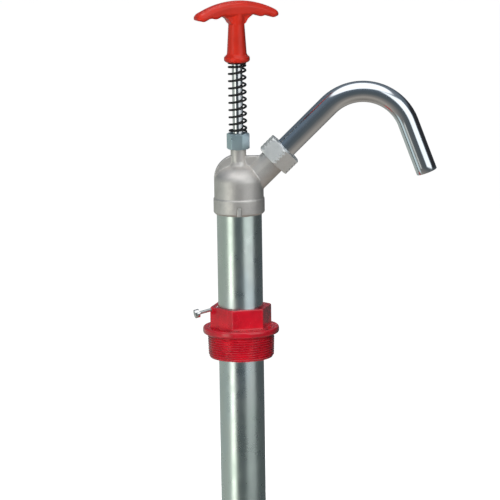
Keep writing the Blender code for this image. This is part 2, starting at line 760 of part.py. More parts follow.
def cushion_spring():
    """A round wire spring whose pitch opens up from closed ends."""
    pitches = []
    steps = 12
    total_turns = 2 * (SPRING_CLOSED_TURNS + SPRING_RAMP_TURNS) + SPRING_OPEN_TURNS
    count = round(total_turns * steps)
    height = SPRING_LENGTH - SPRING_WIRE
    closed = 2 * SPRING_CLOSED_TURNS + SPRING_RAMP_TURNS
    pitch = (height - closed * SPRING_WIRE) / (SPRING_OPEN_TURNS + SPRING_RAMP_TURNS)
    for i in range(count):
        from_end = min(i + 0.5, count - i - 0.5) / steps
        share = (from_end - SPRING_CLOSED_TURNS) / SPRING_RAMP_TURNS
        share = min(max(share, 0.0), 1.0)
        pitches.append(SPRING_WIRE * 1.03 * (1 - share) + pitch * share)
    scale = height / (sum(pitches) / steps)
    points = []
    level = SPRING_WIRE / 2
    for i in range(count + 1):
        angle = 2 * math.pi * i / steps
        points.append((SPRING_RADIUS * math.cos(angle), SPRING_RADIUS * math.sin(angle), level))
        if i < count:
            level += pitches[i] * scale / steps
    spring = curve_mesh("cushion_spring", points, SPRING_WIRE / 2, 8, "black")
    spring.location.z = SPRING_BOTTOM
    turned(
        "spring_washer",
        ring(WASHER_RADIUS, ROD_BORE, SPRING_TOP + CLEAR, SPRING_TOP + CLEAR + WASHER_THICKNESS),
        "black",
        SMALL,
    )


def piston_rod():
    chamfer = 0.0008
    tail = PISTON_NUT_BOTTOM - ROD_TAIL
    turned(
        "piston_rod",
        [
            (0, ROD_TOP),
            (ROD_RADIUS - chamfer, ROD_TOP),
            (ROD_RADIUS, ROD_TOP - chamfer),
            (ROD_RADIUS, ROD_SHOULDER),
            (TAIL_RADIUS, ROD_SHOULDER),
            (TAIL_RADIUS, tail),
            (0, tail),
        ],
        "steel",
        SMALL,
    )


def handle_section(x):
    """Ring of points across the grip at a distance along it from the middle."""
    half = HANDLE_LENGTH / 2
    reach = abs(x) / half
    arch = (half**2 + HANDLE_SAG**2) / (2 * HANDLE_SAG)
    top = HANDLE_CREST - arch + math.sqrt(arch**2 - x**2)
    tip_bottom = HANDLE_CREST - HANDLE_SAG - HANDLE_TIP_HEIGHT
    middle_bottom = HANDLE_CREST - HANDLE_MIDDLE_HEIGHT
    blend = min(1.0, max(0.0, (1 - reach) / 0.72))
    scallop = HANDLE_SCALLOP * math.sin(4 * math.pi * min(1.0, max(0.0, (reach - 0.30) / 0.62)))
    bottom = tip_bottom + (middle_bottom - tip_bottom) * blend + scallop
    width = HANDLE_DEPTH / 2
    closing = max(0.0, (reach - 0.90) / 0.10)
    shrink = math.sqrt(max(0.0, 1 - closing**2)) * 0.45 + 0.55
    width *= shrink
    middle = (top + bottom) / 2
    top = middle + (top - middle) * shrink
    bottom = middle + (bottom - middle) * shrink
    crown = min(HANDLE_CROWN, (top - bottom) * 0.45)
    edge = min(0.0015, (top - bottom) * 0.3)
    outline = [
        (width - edge, bottom),
        (width, bottom + edge),
        (width, top - crown),
        (width - crown * 0.35, top - crown * 0.35),
        (width - crown * 1.2, top),
    ]
    mirrored = [(-y, z) for y, z in reversed(outline)]
    return [(x, y, z - HANDLE_BOTTOM) for y, z in outline + mirrored]


def t_handle():
    holder = axis_empty("handle_axis", (0, 0, HANDLE_BOTTOM))
    holder.rotation_euler = (0, 0, math.radians(HANDLE_TURN))
    half = HANDLE_LENGTH / 2
    steps = 22
    reaches = [math.sin(math.pi / 2 * (2 * i / steps - 1)) for i in range(steps + 1)]
    bar = loft("t_handle", [handle_section(half * reach) for reach in reaches], "plastic", holder)
    bead = 0.0015
    grip = HANDLE_HEIGHT - 0.0080
    stem = [
        (0, grip),
        (STEM_TOP_RADIUS * 1.8, grip),
        (STEM_TOP_RADIUS * 1.7, HANDLE_HEIGHT - 0.0125),
        (STEM_TOP_RADIUS * 1.2, HANDLE_HEIGHT - 0.0160),
        (STEM_TOP_RADIUS, HANDLE_HEIGHT - 0.0190),
        (STEM_BOTTOM_RADIUS, STEM_COLLAR_HEIGHT + bead),
        (STEM_COLLAR_RADIUS - bead, STEM_COLLAR_HEIGHT),
        (STEM_COLLAR_RADIUS, STEM_COLLAR_HEIGHT - bead),
        (STEM_COLLAR_RADIUS, bead),
        (STEM_COLLAR_RADIUS - bead, 0),
        (0, 0),
    ]
    stem_solid = turned("handle_stem", stem, None, MEDIUM, holder)
    narrow = (HANDLE_LENGTH, HANDLE_DEPTH - CLEAR, HANDLE_HEIGHT)
    trim = box("stem_trim", narrow, (0, 0, HANDLE_HEIGHT), holder)
    whole_top = HANDLE_HEIGHT - 0.0185
    whole = (HANDLE_LENGTH, HANDLE_LENGTH, whole_top + OVERRUN)
    wide = box("stem_whole", whole, (0, 0, (whole_top - OVERRUN) / 2), holder)
    combine(wide, trim, "UNION")
    combine(stem_solid, wide, "INTERSECT")
    combine(bar, stem_solid, "UNION")
    pocket_end = INSERT_DEPTH + INSERT_LENGTH
    pocket = [
        (0, pocket_end),
        (INSERT_RADIUS + CLEAR, pocket_end),
        (INSERT_RADIUS + CLEAR, INSERT_DEPTH - 2 * CLEAR),
        (ROD_BORE, INSERT_DEPTH - 2 * CLEAR),
        (ROD_BORE, -0.001),
        (0, -0.001),
    ]
    combine(bar, turned("handle_pocket", pocket, None, SMALL, holder))
    turned(
        "handle_insert",
        ring(INSERT_RADIUS, ROD_BORE, INSERT_DEPTH - CLEAR, pocket_end - CLEAR),
        "brass",
        SMALL,
        holder,
    )


# Piston.


def piston():
    stop_bottom = ROD_SHOULDER - CLEAR - STOP_THICKNESS
    tail_bore = TAIL_RADIUS + FIT
    stop = ring(STOP_RADIUS, tail_bore, stop_bottom, stop_bottom + STOP_THICKNESS)
    turned("valve_stop", stop, "brass", SMALL)
    turned(
        "piston_valve",
        ring(VALVE_RADIUS, HUB_RADIUS + FIT, PISTON_TOP + CLEAR, PISTON_TOP + CLEAR + VALVE_THICKNESS),
        "rubber",
        MEDIUM,
    )
    cup_outer = BORE - FIT
    cup_inner = cup_outer - CUP_WALL
    body_bottom = CUP_TOP_OF_BASE + CLEAR
    body = bored(
        "piston_body",
        [
            (0, stop_bottom - CLEAR),
            (HUB_RADIUS, stop_bottom - CLEAR),
            (HUB_RADIUS, PISTON_TOP),
            (cup_inner - FIT, PISTON_TOP),
            (cup_inner - FIT, body_bottom),
            (SPIGOT_RADIUS, body_bottom),
            (SPIGOT_RADIUS, PLATE_TOP + CLEAR),
            (0, PLATE_TOP + CLEAR),
        ],
        [solid(tail_bore, PLATE_TOP - OVERRUN, ROD_SHOULDER)],
        "brass",
    )
    drill_ports(body, PORT_RADIUS, PORT_CIRCLE, PORT_COUNT, PLATE_TOP, PISTON_TOP)
    turned(
        "piston_cup",
        [
            (cup_outer, CUP_TOP_OF_BASE + CUP_LIP),
            (cup_outer, CUP_TOP_OF_BASE - CUP_BASE),
            (SPIGOT_RADIUS + CLEAR, CUP_TOP_OF_BASE - CUP_BASE),
            (SPIGOT_RADIUS + CLEAR, CUP_TOP_OF_BASE),
            (cup_inner, CUP_TOP_OF_BASE),
            (cup_inner, CUP_TOP_OF_BASE + CUP_LIP),
        ],
        "rubber",
        MEDIUM,
    )
    plate_body = bored(
        "piston_plate",
        solid(cup_inner - FIT, PLATE_BOTTOM, PLATE_TOP),
        [solid(tail_bore, PLATE_BOTTOM - OVERRUN, PLATE_TOP + OVERRUN)],
        "brass",
    )
    drill_ports(plate_body, PORT_RADIUS, PORT_CIRCLE, PORT_COUNT, PLATE_BOTTOM, PLATE_TOP)
    washer_top = PLATE_BOTTOM - CLEAR
    turned(
        "piston_lock_washer",
        ring(PISTON_NUT_FLATS / 2, tail_bore, washer_top - LOCK_WASHER_THICKNESS, washer_top),
        "steel",
        SMALL,
    )
    bottom = PISTON_NUT_BOTTOM
    nut = hexagon("piston_nut", PISTON_NUT_FLATS, bottom, PISTON_NUT_TOP, PISTON_NUT_CHAMFER, "zinc")
    through = solid(tail_bore, PISTON_NUT_BOTTOM - OVERRUN, PISTON_NUT_TOP + OVERRUN)
    combine(nut, turned("piston_nut_bore", through, None, SMALL))


# Foot valve.


def rivet_directions():
    turns = [2 * math.pi * number / RIVET_COUNT for number in range(RIVET_COUNT)]
    return [Vector((math.cos(turn), math.sin(turn), 0)) for turn in turns]


def rivet_level():
    return FOOT_Z + FOOT_BODY_HEIGHT * 0.45


def foot_valve():
    outer = BORE - CLEAR
    body = bored(
        "foot_valve_body",
        [
            (0, FOOT_BODY_TOP),
            (outer, FOOT_BODY_TOP),
            (outer, FOOT_Z - CLEAR),
            (BARREL_RADIUS, FOOT_Z - CLEAR),
            (BARREL_RADIUS, FOOT_Z - CLEAR - FOOT_FLANGE),
            (0, FOOT_Z - CLEAR - FOOT_FLANGE),
        ],
        [
            [
                (0, FOOT_BODY_TOP + OVERRUN),
                (SEAT_RADIUS + SEAT_EDGE + OVERRUN, FOOT_BODY_TOP + OVERRUN),
                (SEAT_RADIUS, FOOT_BODY_TOP - SEAT_EDGE),
                (SEAT_RADIUS, FOOT_Z - FOOT_FLANGE - OVERRUN),
                (0, FOOT_Z - FOOT_FLANGE - OVERRUN),
            ]
        ],
        "casting",
    )
    pin_end = BORE - RIVET_DEPTH
    for number, direction in enumerate(rivet_directions()):
        start = direction * (pin_end - CLEAR)
        start.z = rivet_level()
        seat = round_cutter(
            f"rivet_seat_{number}", RIVET_RADIUS + FIT, RIVET_HOLE_LENGTH, start, direction, DRILLED
        )
        combine(body, seat)
        face = BARREL_RADIUS + CLEAR
        pin = turned(
            f"foot_rivet_{number + 1}",
            [
                (0, face + RIVET_HEAD_HEIGHT),
                (RIVET_HEAD_RADIUS * 0.8, face + RIVET_HEAD_HEIGHT),
                (RIVET_HEAD_RADIUS, face),
                (RIVET_RADIUS, face),
                (RIVET_RADIUS, pin_end),
                (0, pin_end),
            ],
            "steel",
            DRILLED,
        )
        pin.location.z = rivet_level()
        pin.rotation_euler = direction.to_track_quat("Z", "Y").to_euler()

    # The ball rests where its circle of contact meets the seat's cone.
    rest = FOOT_BODY_TOP - SEAT_EDGE + math.sqrt(BALL_RADIUS**2 - SEAT_RADIUS**2) + CLEAR
    shape = bmesh.new()
    bmesh.ops.create_uvsphere(shape, u_segments=16, v_segments=10, radius=BALL_RADIUS)
    mesh = bpy.data.meshes.new("foot_ball")
    shape.to_mesh(mesh)
    shape.free()
    mesh.shade_smooth()
    ball = bpy.data.objects.new("foot_ball", mesh)
    ball.location.z = rest
    finish(ball, "steel")

    cage = bored(
        "ball_cage",
        solid(outer, CAGE_BOTTOM, CAGE_END),
        [solid(outer - CAGE_WALL, CAGE_BOTTOM - OVERRUN, CAGE_END - CAGE_TOP)],
        "polymer",
    )
    drill_ports(cage, CAGE_PORT_RADIUS, CAGE_PORT_CIRCLE, CAGE_PORT_COUNT, CAGE_END - CAGE_TOP, CAGE_END)


def strainer():
    bottom = STRAINER_TOP - STRAINER_HEIGHT
    inside = STRAINER_RADIUS - STRAINER_WALL
    edge = 0.0020
    cup = bored(
        "suction_strainer",
        [
            (0, STRAINER_TOP),
            (STRAINER_RADIUS, STRAINER_TOP),
            (STRAINER_RADIUS, bottom + edge),
            (STRAINER_RADIUS - edge, bottom),
            (0, bottom),
        ],
        [solid(inside, bottom + STRAINER_WALL, STRAINER_TOP + OVERRUN)],
        "polymer",
    )
    floor = bottom + STRAINER_WALL
    drill_ports(cup, STRAINER_HOLE, STRAINER_HOLE_CIRCLE, STRAINER_FLOOR_HOLES, bottom, floor)
    middle = solid(STRAINER_LARGE_HOLE, bottom - OVERRUN, floor + OVERRUN)
    combine(cup, turned("strainer_middle", middle, None, DRILLED))
    for number in range(STRAINER_SIDE_HOLES):
        angle = 2 * math.pi * (number + 0.4) / STRAINER_SIDE_HOLES
        direction = Vector((math.cos(angle), math.sin(angle), 0))
        start = direction * (inside - 2 * STRAINER_WALL)
        start.z = bottom + STRAINER_HEIGHT * 0.5
        side = round_cutter(
            f"strainer_side_{number}", STRAINER_LARGE_HOLE, 6 * STRAINER_WALL, start, direction, TINY
        )
        combine(cup, side)


def main():
    clear_scene()
    make_materials()
    corner, outward = screw_axis()
    screw_parent = axis_empty("set_screw_axis", corner, outward)
    angle = math.radians(BRANCH_ANGLE)
    branch_parent = axis_empty("branch_axis", (0, 0, BRANCH_LEVEL), (math.cos(angle), 0, math.sin(angle)))
    bpy.context.view_layer.update()
    bung_adapter(screw_parent)
    clamp(screw_parent)
    barrel()
    pump_head(branch_parent)
    head_details()
    gland()
    spout(branch_parent)
    cushion_spring()
    piston_rod()
    t_handle()
    piston()
    foot_valve()
    strainer()
    bpy.context.view_layer.update()


main()
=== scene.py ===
"""Looks of a hand-operated lift pump for drums, built round its CAD frame."""

import json
import math

import bmesh
import bpy
import numpy as np
from bpy.props import FloatProperty, FloatVectorProperty, IntProperty, PointerProperty
from mathutils import Matrix, Vector


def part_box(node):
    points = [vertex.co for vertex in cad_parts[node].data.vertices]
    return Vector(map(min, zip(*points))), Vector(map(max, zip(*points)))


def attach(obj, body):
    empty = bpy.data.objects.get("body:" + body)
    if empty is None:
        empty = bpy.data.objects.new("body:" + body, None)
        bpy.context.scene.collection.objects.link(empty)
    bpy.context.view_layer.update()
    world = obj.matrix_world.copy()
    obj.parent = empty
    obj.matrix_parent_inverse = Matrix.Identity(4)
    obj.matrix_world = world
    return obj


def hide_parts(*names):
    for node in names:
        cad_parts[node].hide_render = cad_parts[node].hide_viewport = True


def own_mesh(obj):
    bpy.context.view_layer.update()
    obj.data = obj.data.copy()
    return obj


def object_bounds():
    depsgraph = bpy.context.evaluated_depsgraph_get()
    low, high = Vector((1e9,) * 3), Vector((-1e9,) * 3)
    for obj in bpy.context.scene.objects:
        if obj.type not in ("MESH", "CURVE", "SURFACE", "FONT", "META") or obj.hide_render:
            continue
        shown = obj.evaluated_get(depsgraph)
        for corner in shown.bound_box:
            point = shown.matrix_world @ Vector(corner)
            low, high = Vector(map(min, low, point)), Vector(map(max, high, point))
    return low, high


bl_info = {
    "name": "Drum barrel pump",
    "version": (1, 0, 0),
    "blender": (4, 5, 0),
    "location": "View3D > Sidebar > Drum Pump",
    "description": "Builds the pieces, finishes and studio of a hand lift pump for drums",
    "category": "Object",
}

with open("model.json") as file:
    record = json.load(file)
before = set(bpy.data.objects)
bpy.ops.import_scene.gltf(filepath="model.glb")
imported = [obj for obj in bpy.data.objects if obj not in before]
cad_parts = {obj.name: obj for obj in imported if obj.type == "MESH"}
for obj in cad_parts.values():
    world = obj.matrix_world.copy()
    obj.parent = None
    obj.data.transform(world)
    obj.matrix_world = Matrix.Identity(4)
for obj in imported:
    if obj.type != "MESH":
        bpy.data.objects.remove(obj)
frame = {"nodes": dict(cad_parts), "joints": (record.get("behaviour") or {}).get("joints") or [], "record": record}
CAD_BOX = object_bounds()
JOINTS = {joint["name"]: joint for joint in frame["joints"]}
BRANCH_AXIS = Vector(JOINTS["spout_swivel"]["axis"]).normalized()
BRANCH_POINT = Vector(JOINTS["spout_swivel"]["pos_m"])
SCREW_AXIS = Vector(JOINTS["screw_turn"]["axis"]).normalized()
SCREW_POINT = Vector(JOINTS["screw_turn"]["pos_m"])
ORIGIN = Vector((0, 0, 0))
UP = Vector((0, 0, 1))
GAP = 0.0003  # between a piece and what it fits in or round
OVERRUN = 0.001  # of a cutter past the face that it opens
ROD_HOLE = 0.0051  # radius of every hole that the rod runs through
NUT_CHAMFER = 0.0014  # off the corners at each end of a nut
DOME_SINK = 0.0040  # of the dome's centre below the shoulder
DOME_RISE = 0.0015  # of the dome's top above its set height
TUBE_END = 0.0076  # of the spout below its ferrule
SEAT_DEPTH = 0.0085  # of the outlet's step below the ferrule
THREAD_RADIUS = 0.03015  # of a two inch pipe thread
THREAD_TOP = -0.0015  # of the pipe thread, from the flange's underside
CLAMP_HOLE = 0.00195  # radius of the set screw's hole
STUDIO_RADIUS = 38.0


# Sizes read from the frame.


def low(node):
    return Vector(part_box(node)[0])


def high(node):
    return Vector(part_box(node)[1])


def radius_of(node):
    """Half the widest side of an upright round node."""
    size = high(node) - low(node)
    return max(size.x, size.y) / 2


def along(point, origin, axis):
    return (Vector(point) - origin).dot(axis)


def span_along(node, origin, axis):
    """Lowest and highest distance of a node's vertices along an axis."""
    mesh = frame["nodes"][node].data
    places = [along(vertex.co, origin, axis) for vertex in mesh.vertices]
    return min(places), max(places)


def reach_from(node, origin, axis):
    """Nearest and furthest distance of a node's vertices from an axis."""
    mesh = frame["nodes"][node].data
    reaches = []
    for vertex in mesh.vertices:
        offset = Vector(vertex.co) - origin
        reaches.append((offset - axis * offset.dot(axis)).length)
    return min(reaches), max(reaches)


def radius_of_collar():
    return (high("pump_head").y - low("pump_head").y) / 2


def branch_level():
    """Height where the branch's axis meets the pump's axis."""
    return BRANCH_POINT.z - BRANCH_POINT.x * BRANCH_AXIS.z / BRANCH_AXIS.x


# Mesh helpers.


def upright(origin, axis):
    """Matrix that takes local Z to an axis through a point, and local X level with the world's XZ plane."""
    across = Vector((0, 1, 0))
    side = across.cross(axis).normalized()
    turn = Matrix((side, axis.cross(side), axis)).transposed().to_4x4()
    return Matrix.Translation(origin) @ turn


def mesh_object(name, vertices, faces, place=None):
    mesh = bpy.data.meshes.new(name)
    mesh.from_pydata([tuple(v) for v in vertices], [], faces)
    shape = bmesh.new()
    shape.from_mesh(mesh)
    bmesh.ops.remove_doubles(shape, verts=shape.verts, dist=1e-7)
    bmesh.ops.recalc_face_normals(shape, faces=shape.faces)
    if place is not None:
        shape.transform(place)
    shape.to_mesh(mesh)
    shape.free()
    obj = bpy.data.objects.new(name, mesh)
    bpy.context.scene.collection.objects.link(obj)
    return obj


def rounded(profile, radius, steps=4):
    """A profile of (radius, height) points with its corners off the axis rounded.

    A third number on a point is that corner's own rounding.
    """
    points = [Vector(point[:2]) for point in profile]
    closed = profile[0][0] > 1e-9
    result = []
    count = len(points)
    for i, corner in enumerate(points):
        if corner.x < 1e-9 or (not closed and i in (0, count - 1)):
            result.append(corner)
            continue
        before = points[i - 1] - corner
        after = points[(i + 1) % count] - corner
        turn = before.angle(after)
        wanted = profile[i][2] if len(profile[i]) > 2 else radius
        if turn > math.radians(170) or wanted <= 0:
            result.append(corner)
            continue
        reach = wanted / math.tan(turn / 2)
        reach = min(reach, before.length * 0.48, after.length * 0.48)
        start = corner + before.normalized() * reach
        end = corner + after.normalized() * reach
        for step in range(steps + 1):
            t = step / steps
            result.append(start * (1 - t) ** 2 + corner * 2 * t * (1 - t) + end * t**2)
    return [(point.x, point.y) for point in result]


def arc(centre_r, centre_z, radius_r, radius_z, start, end, steps):
    angles = [math.radians(start + (end - start) * i / steps) for i in range(steps + 1)]
    return [(centre_r + radius_r * math.cos(a), centre_z + radius_z * math.sin(a)) for a in angles]


def lathe(name, profile, sides=96, place=None):
    """A profile turned about Z. It closes on itself unless it starts and ends on the axis."""
    vertices = []
    rows = []
    for r, z in profile:
        first = len(vertices)
        if r < 1e-9:
            vertices.append((0, 0, z))
            rows.append([first] * sides)
            continue
        for i in range(sides):
            angle = 2 * math.pi * i / sides
            vertices.append((r * math.cos(angle), r * math.sin(angle), z))
        rows.append(list(range(first, first + sides)))
    pairs = list(zip(rows, rows[1:]))
    if profile[0][0] > 1e-9:
        pairs.append((rows[-1], rows[0]))
    faces = []
    for upper, lower in pairs:
        for i in range(sides):
            j = (i + 1) % sides
            ring = [upper[i], lower[i], lower[j], upper[j]]
            face = list(dict.fromkeys(ring))
            if len(face) > 2:
                faces.append(face)
    return mesh_object(name, vertices, faces, place)


def bands(rows, size, closed=False):
    """Faces between rings of points that all have the same count."""
    faces = []
    for row in range(rows if closed else rows - 1):
        after = (row + 1) % rows
        for i in range(size):
            j = (i + 1) % size
            faces.append((row * size + i, row * size + j, after * size + j, after * size + i))
    return faces


def loft(name, sections):
    """A skin over rings of points, closed by a flat face at each end."""
    vertices = [point for section in sections for point in section]
    size = len(sections[0])
    faces = bands(len(sections), size)
    faces.append(tuple(range(size)))
    faces.append(tuple(range(len(vertices) - size, len(vertices))))
    return mesh_object(name, vertices, faces)


def bake(obj):
    """Turns an object's modifiers into its plain mesh."""
    graph = bpy.context.evaluated_depsgraph_get()
    graph.update()
    mesh = bpy.data.meshes.new_from_object(obj.evaluated_get(graph))
    obj.modifiers.clear()
    obj.data = mesh
    return obj


def combine(obj, other, operation="DIFFERENCE", solver="MANIFOLD"):
    boolean = obj.modifiers.new("Boolean", "BOOLEAN")
    boolean.operation = operation
    boolean.solver = solver
    boolean.object = other
    bake(obj)
    bpy.data.objects.remove(other)
    return obj


def merge(obj, others):
    """Puts other closed shells into one object's mesh."""
    shape = bmesh.new()
    for piece in [obj, *others]:
        shape.from_mesh(piece.data)
    shape.to_mesh(obj.data)
    shape.free()
    for other in others:
        bpy.data.objects.remove(other)
    return obj


def cast(obj, grain, passes):
    """Fuses overlapping shells into one skin with soft inner corners, as a casting or moulding has."""
    remesh = obj.modifiers.new("Remesh", "REMESH")
    remesh.mode = "VOXEL"
    remesh.voxel_size = grain
    smooth = obj.modifiers.new("Smooth", "SMOOTH")
    smooth.factor = 0.5
    smooth.iterations = passes
    return bake(obj)


def break_edges(obj, width, segments, angle):
    """Rounds over the edges that turn by more than an angle."""
    bevel = obj.modifiers.new("Bevel", "BEVEL")
    bevel.width = width
    bevel.segments = segments
    bevel.limit_method = "ANGLE"
    bevel.angle_limit = math.radians(angle)
    return bake(obj)


def hex_prism(name, flats, bottom, top, chamfer, turn, edge):
    """A hexagon bar end with both ends turned to a chamfer, and its edges broken."""
    corner = flats / math.sqrt(3)
    rings = []
    for z in (bottom, top):
        angles = [math.radians(turn + 60 * i) for i in range(6)]
        rings.append([(corner * math.cos(a), corner * math.sin(a), z) for a in angles])
    prism = loft(name, rings)
    outer = corner + 0.001
    rise = (outer - (corner - chamfer)) * math.tan(math.radians(30))
    blank = [
        (0, top),
        (corner - chamfer, top),
        (outer, top - rise),
        (outer, bottom + rise),
        (corner - chamfer, bottom),
        (0, bottom),
    ]
    combine(prism, lathe("blank", blank, 96), "INTERSECT", "EXACT")
    return break_edges(prism, edge, 2, 22)


def soften(obj, angle=38.0):
    obj.data.shade_smooth()
    obj.data.set_sharp_from_angle(angle=math.radians(angle))


def finish_piece(obj, body, nodes, look, angle=38.0):
    """Gives a finished piece its finish and its body, and hides the CAD nodes that it stands for."""
    soften(obj, angle)
    obj.data.materials.clear()
    obj.data.materials.append(look)
    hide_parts(*nodes)
    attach(obj, body)
    return obj


# Node trees.


class NodeTree:
    """Adds nodes to a tree, with their settings, and their inputs set or linked."""

    def __init__(self, tree):
        self.tree = tree

    def add(self, kind, values=None, **settings):
        node = self.tree.nodes.new(kind)
        for key, value in settings.items():
            setattr(node, key, value)
        for key, value in (values or {}).items():
            if isinstance(value, bpy.types.NodeSocket):
                self.tree.links.new(value, node.inputs[key])
            else:
                node.inputs[key].default_value = value
        return node

    def math(self, operation, first, second=0.0, third=0.0):
        values = {0: first, 1: second, 2: third}
        return self.add("ShaderNodeMath", values, operation=operation).outputs[0]

    def vector(self, x, y, z):
        return self.add("ShaderNodeCombineXYZ", {0: x, 1: y, 2: z}).outputs[0]


class ShaderTree(NodeTree):
    """The nodes that the finishes and the studio share."""

    def ramp(self, factor, stops):
        """A colour band over a factor, with a colour at each stop."""
        ramp = self.add("ShaderNodeValToRGB", {"Fac": factor})
        band = ramp.color_ramp
        while len(band.elements) < len(stops):
            band.elements.new(0.5)
        for element, (place, colour) in zip(band.elements, stops):
            element.position = place
            element.color = (*colour, 1)
        return ramp.outputs["Color"]

    def mix(self, factor, first, second):
        """One colour over another, by a factor."""
        colours = [(*c, 1) if isinstance(c, tuple) else c for c in (first, second)]
        values = {0: factor, 6: colours[0], 7: colours[1]}
        return self.add("ShaderNodeMix", values, data_type="RGBA").outputs[2]

    def scaled(self, factor, lowest, highest, start=0.3, end=0.7, **settings):
        """A factor's span from start to end, taken to lowest and highest."""
        values = {"Value": factor, "From Min": start, "From Max": end, "To Min": lowest, "To Max": highest}
        return self.add("ShaderNodeMapRange", values, **settings).outputs[0]


class GeometryTree(NodeTree):
    """A geometry node tree with named inputs."""

    def __init__(self, name, sockets):
        super().__init__(bpy.data.node_groups.new(name, "GeometryNodeTree"))
        self.names = {}
        for label, (kind, value) in sockets.items():
            socket = self.tree.interface.new_socket(label, in_out="INPUT", socket_type=kind)
            if value is not None:
                socket.default_value = value
            self.names[label] = socket.identifier
        self.tree.interface.new_socket("Geometry", in_out="OUTPUT", socket_type="NodeSocketGeometry")
        self.inputs = self.tree.nodes.new("NodeGroupInput")
        self.index = self.add("GeometryNodeInputIndex").outputs[0]

    def size(self, label):
        return self.inputs.outputs[label]

    def line(self, count, radius, angle, height):
        """Joined points, each at its own angle and height round the Z axis."""
        line = self.add("GeometryNodeMeshLine", {"Count": count})
        x = self.math("MULTIPLY", radius, self.math("COSINE", angle))
        y = self.math("MULTIPLY", radius, self.math("SINE", angle))
        values = {"Geometry": line.outputs[0], "Position": self.vector(x, y, height)}
        return self.add("GeometryNodeSetPosition", values).outputs[0]

    def copies(self, line, shape, rotation, scale=(1, 1, 1)):
        """A copy of a shape on each point of a line."""
        points = self.add("GeometryNodeMeshToPoints", {"Mesh": line}).outputs[0]
        values = {"Points": points, "Instance": shape, "Rotation": rotation, "Scale": scale}
        return self.add("GeometryNodeInstanceOnPoints", values).outputs[0]

    def cut(self, copies):
        """The tree's own geometry with the copies taken out of it."""
        real = self.add("GeometryNodeRealizeInstances", {0: copies}).outputs[0]
        values = {"Mesh 1": self.size("Geometry"), "Mesh 2": real}
        boolean = self.add("GeometryNodeMeshBoolean", values, operation="DIFFERENCE", solver="EXACT")
        return boolean.outputs["Mesh"]

    def close(self, geometry, look):
        """Ends the tree in real geometry with its finish."""
        real = self.add("GeometryNodeRealizeInstances", {0: geometry})
        painted = self.add("GeometryNodeSetMaterial", {"Geometry": real.outputs[0], "Material": look})
        self.add("NodeGroupOutput", {0: painted.outputs[0]})

    def run(self, obj, sizes):
        """Runs the tree on an object, and leaves the plain mesh."""
        modifier = obj.modifiers.new(self.tree.name, "NODES")
        modifier.node_group = self.tree
        for label, value in sizes.items():
            modifier[self.names[label]] = value
        return bake(obj)


def spring_tree(look):
    """A wire coil whose pitch opens up from closed ends."""
    tree = GeometryTree(
        "Wire coil",
        {
            "Turns": ("NodeSocketFloat", 10.0),
            "Steps": ("NodeSocketInt", 48),
            "Coil Radius": ("NodeSocketFloat", 0.0075),
            "Wire Radius": ("NodeSocketFloat", 0.001),
            "Height": ("NodeSocketFloat", 0.06),
            "Closed Pitch": ("NodeSocketFloat", 0.002),
            "Open Pitch": ("NodeSocketFloat", 0.0065),
            "Closed Turns": ("NodeSocketFloat", 0.75),
            "Ramp Turns": ("NodeSocketFloat", 0.75),
            "Base": ("NodeSocketFloat", 0.0),
        },
    )
    turns = tree.size("Turns")
    steps = tree.size("Steps")
    closed_pitch = tree.size("Closed Pitch")
    ramp_turns = tree.size("Ramp Turns")
    count = tree.math("ADD", tree.math("MULTIPLY", turns, steps), 1.0)
    turn = tree.math("DIVIDE", tree.index, steps)
    from_end = tree.math("MINIMUM", turn, tree.math("SUBTRACT", turns, turn))
    past = tree.math("SUBTRACT", from_end, tree.size("Closed Turns"))
    ramp = tree.math("MINIMUM", tree.math("MAXIMUM", past, 0.0), ramp_turns)
    ramped = tree.math("DIVIDE", tree.math("MULTIPLY", ramp, ramp), tree.math("MULTIPLY", ramp_turns, 2.0))
    opened = tree.math("MAXIMUM", tree.math("SUBTRACT", past, ramp_turns), 0.0)
    extra = tree.math("SUBTRACT", tree.size("Open Pitch"), closed_pitch)
    rise = tree.math("MULTIPLY", extra, tree.math("ADD", ramped, opened))
    rise = tree.math("MULTIPLY_ADD", closed_pitch, from_end, rise)
    upper = tree.math("GREATER_THAN", tree.math("MULTIPLY", turn, 2.0), turns)
    mirrored = tree.math("SUBTRACT", tree.size("Height"), rise)
    height = tree.math("ADD", rise, tree.math("MULTIPLY", upper, tree.math("SUBTRACT", mirrored, rise)))
    height = tree.math("ADD", height, tree.size("Base"))
    angle = tree.math("MULTIPLY", turn, 2 * math.pi)
    path = tree.add("GeometryNodeMeshToCurve", {0: tree.line(count, tree.size("Coil Radius"), angle, height)})
    sizes = {"Resolution": 14, "Radius": tree.size("Wire Radius")}
    wire = tree.add("GeometryNodeCurvePrimitiveCircle", sizes)
    coil = tree.add(
        "GeometryNodeCurveToMesh",
        {"Curve": path.outputs[0], "Profile Curve": wire.outputs[0], "Fill Caps": True},
    )
    tree.close(coil.outputs[0], look)
    return tree


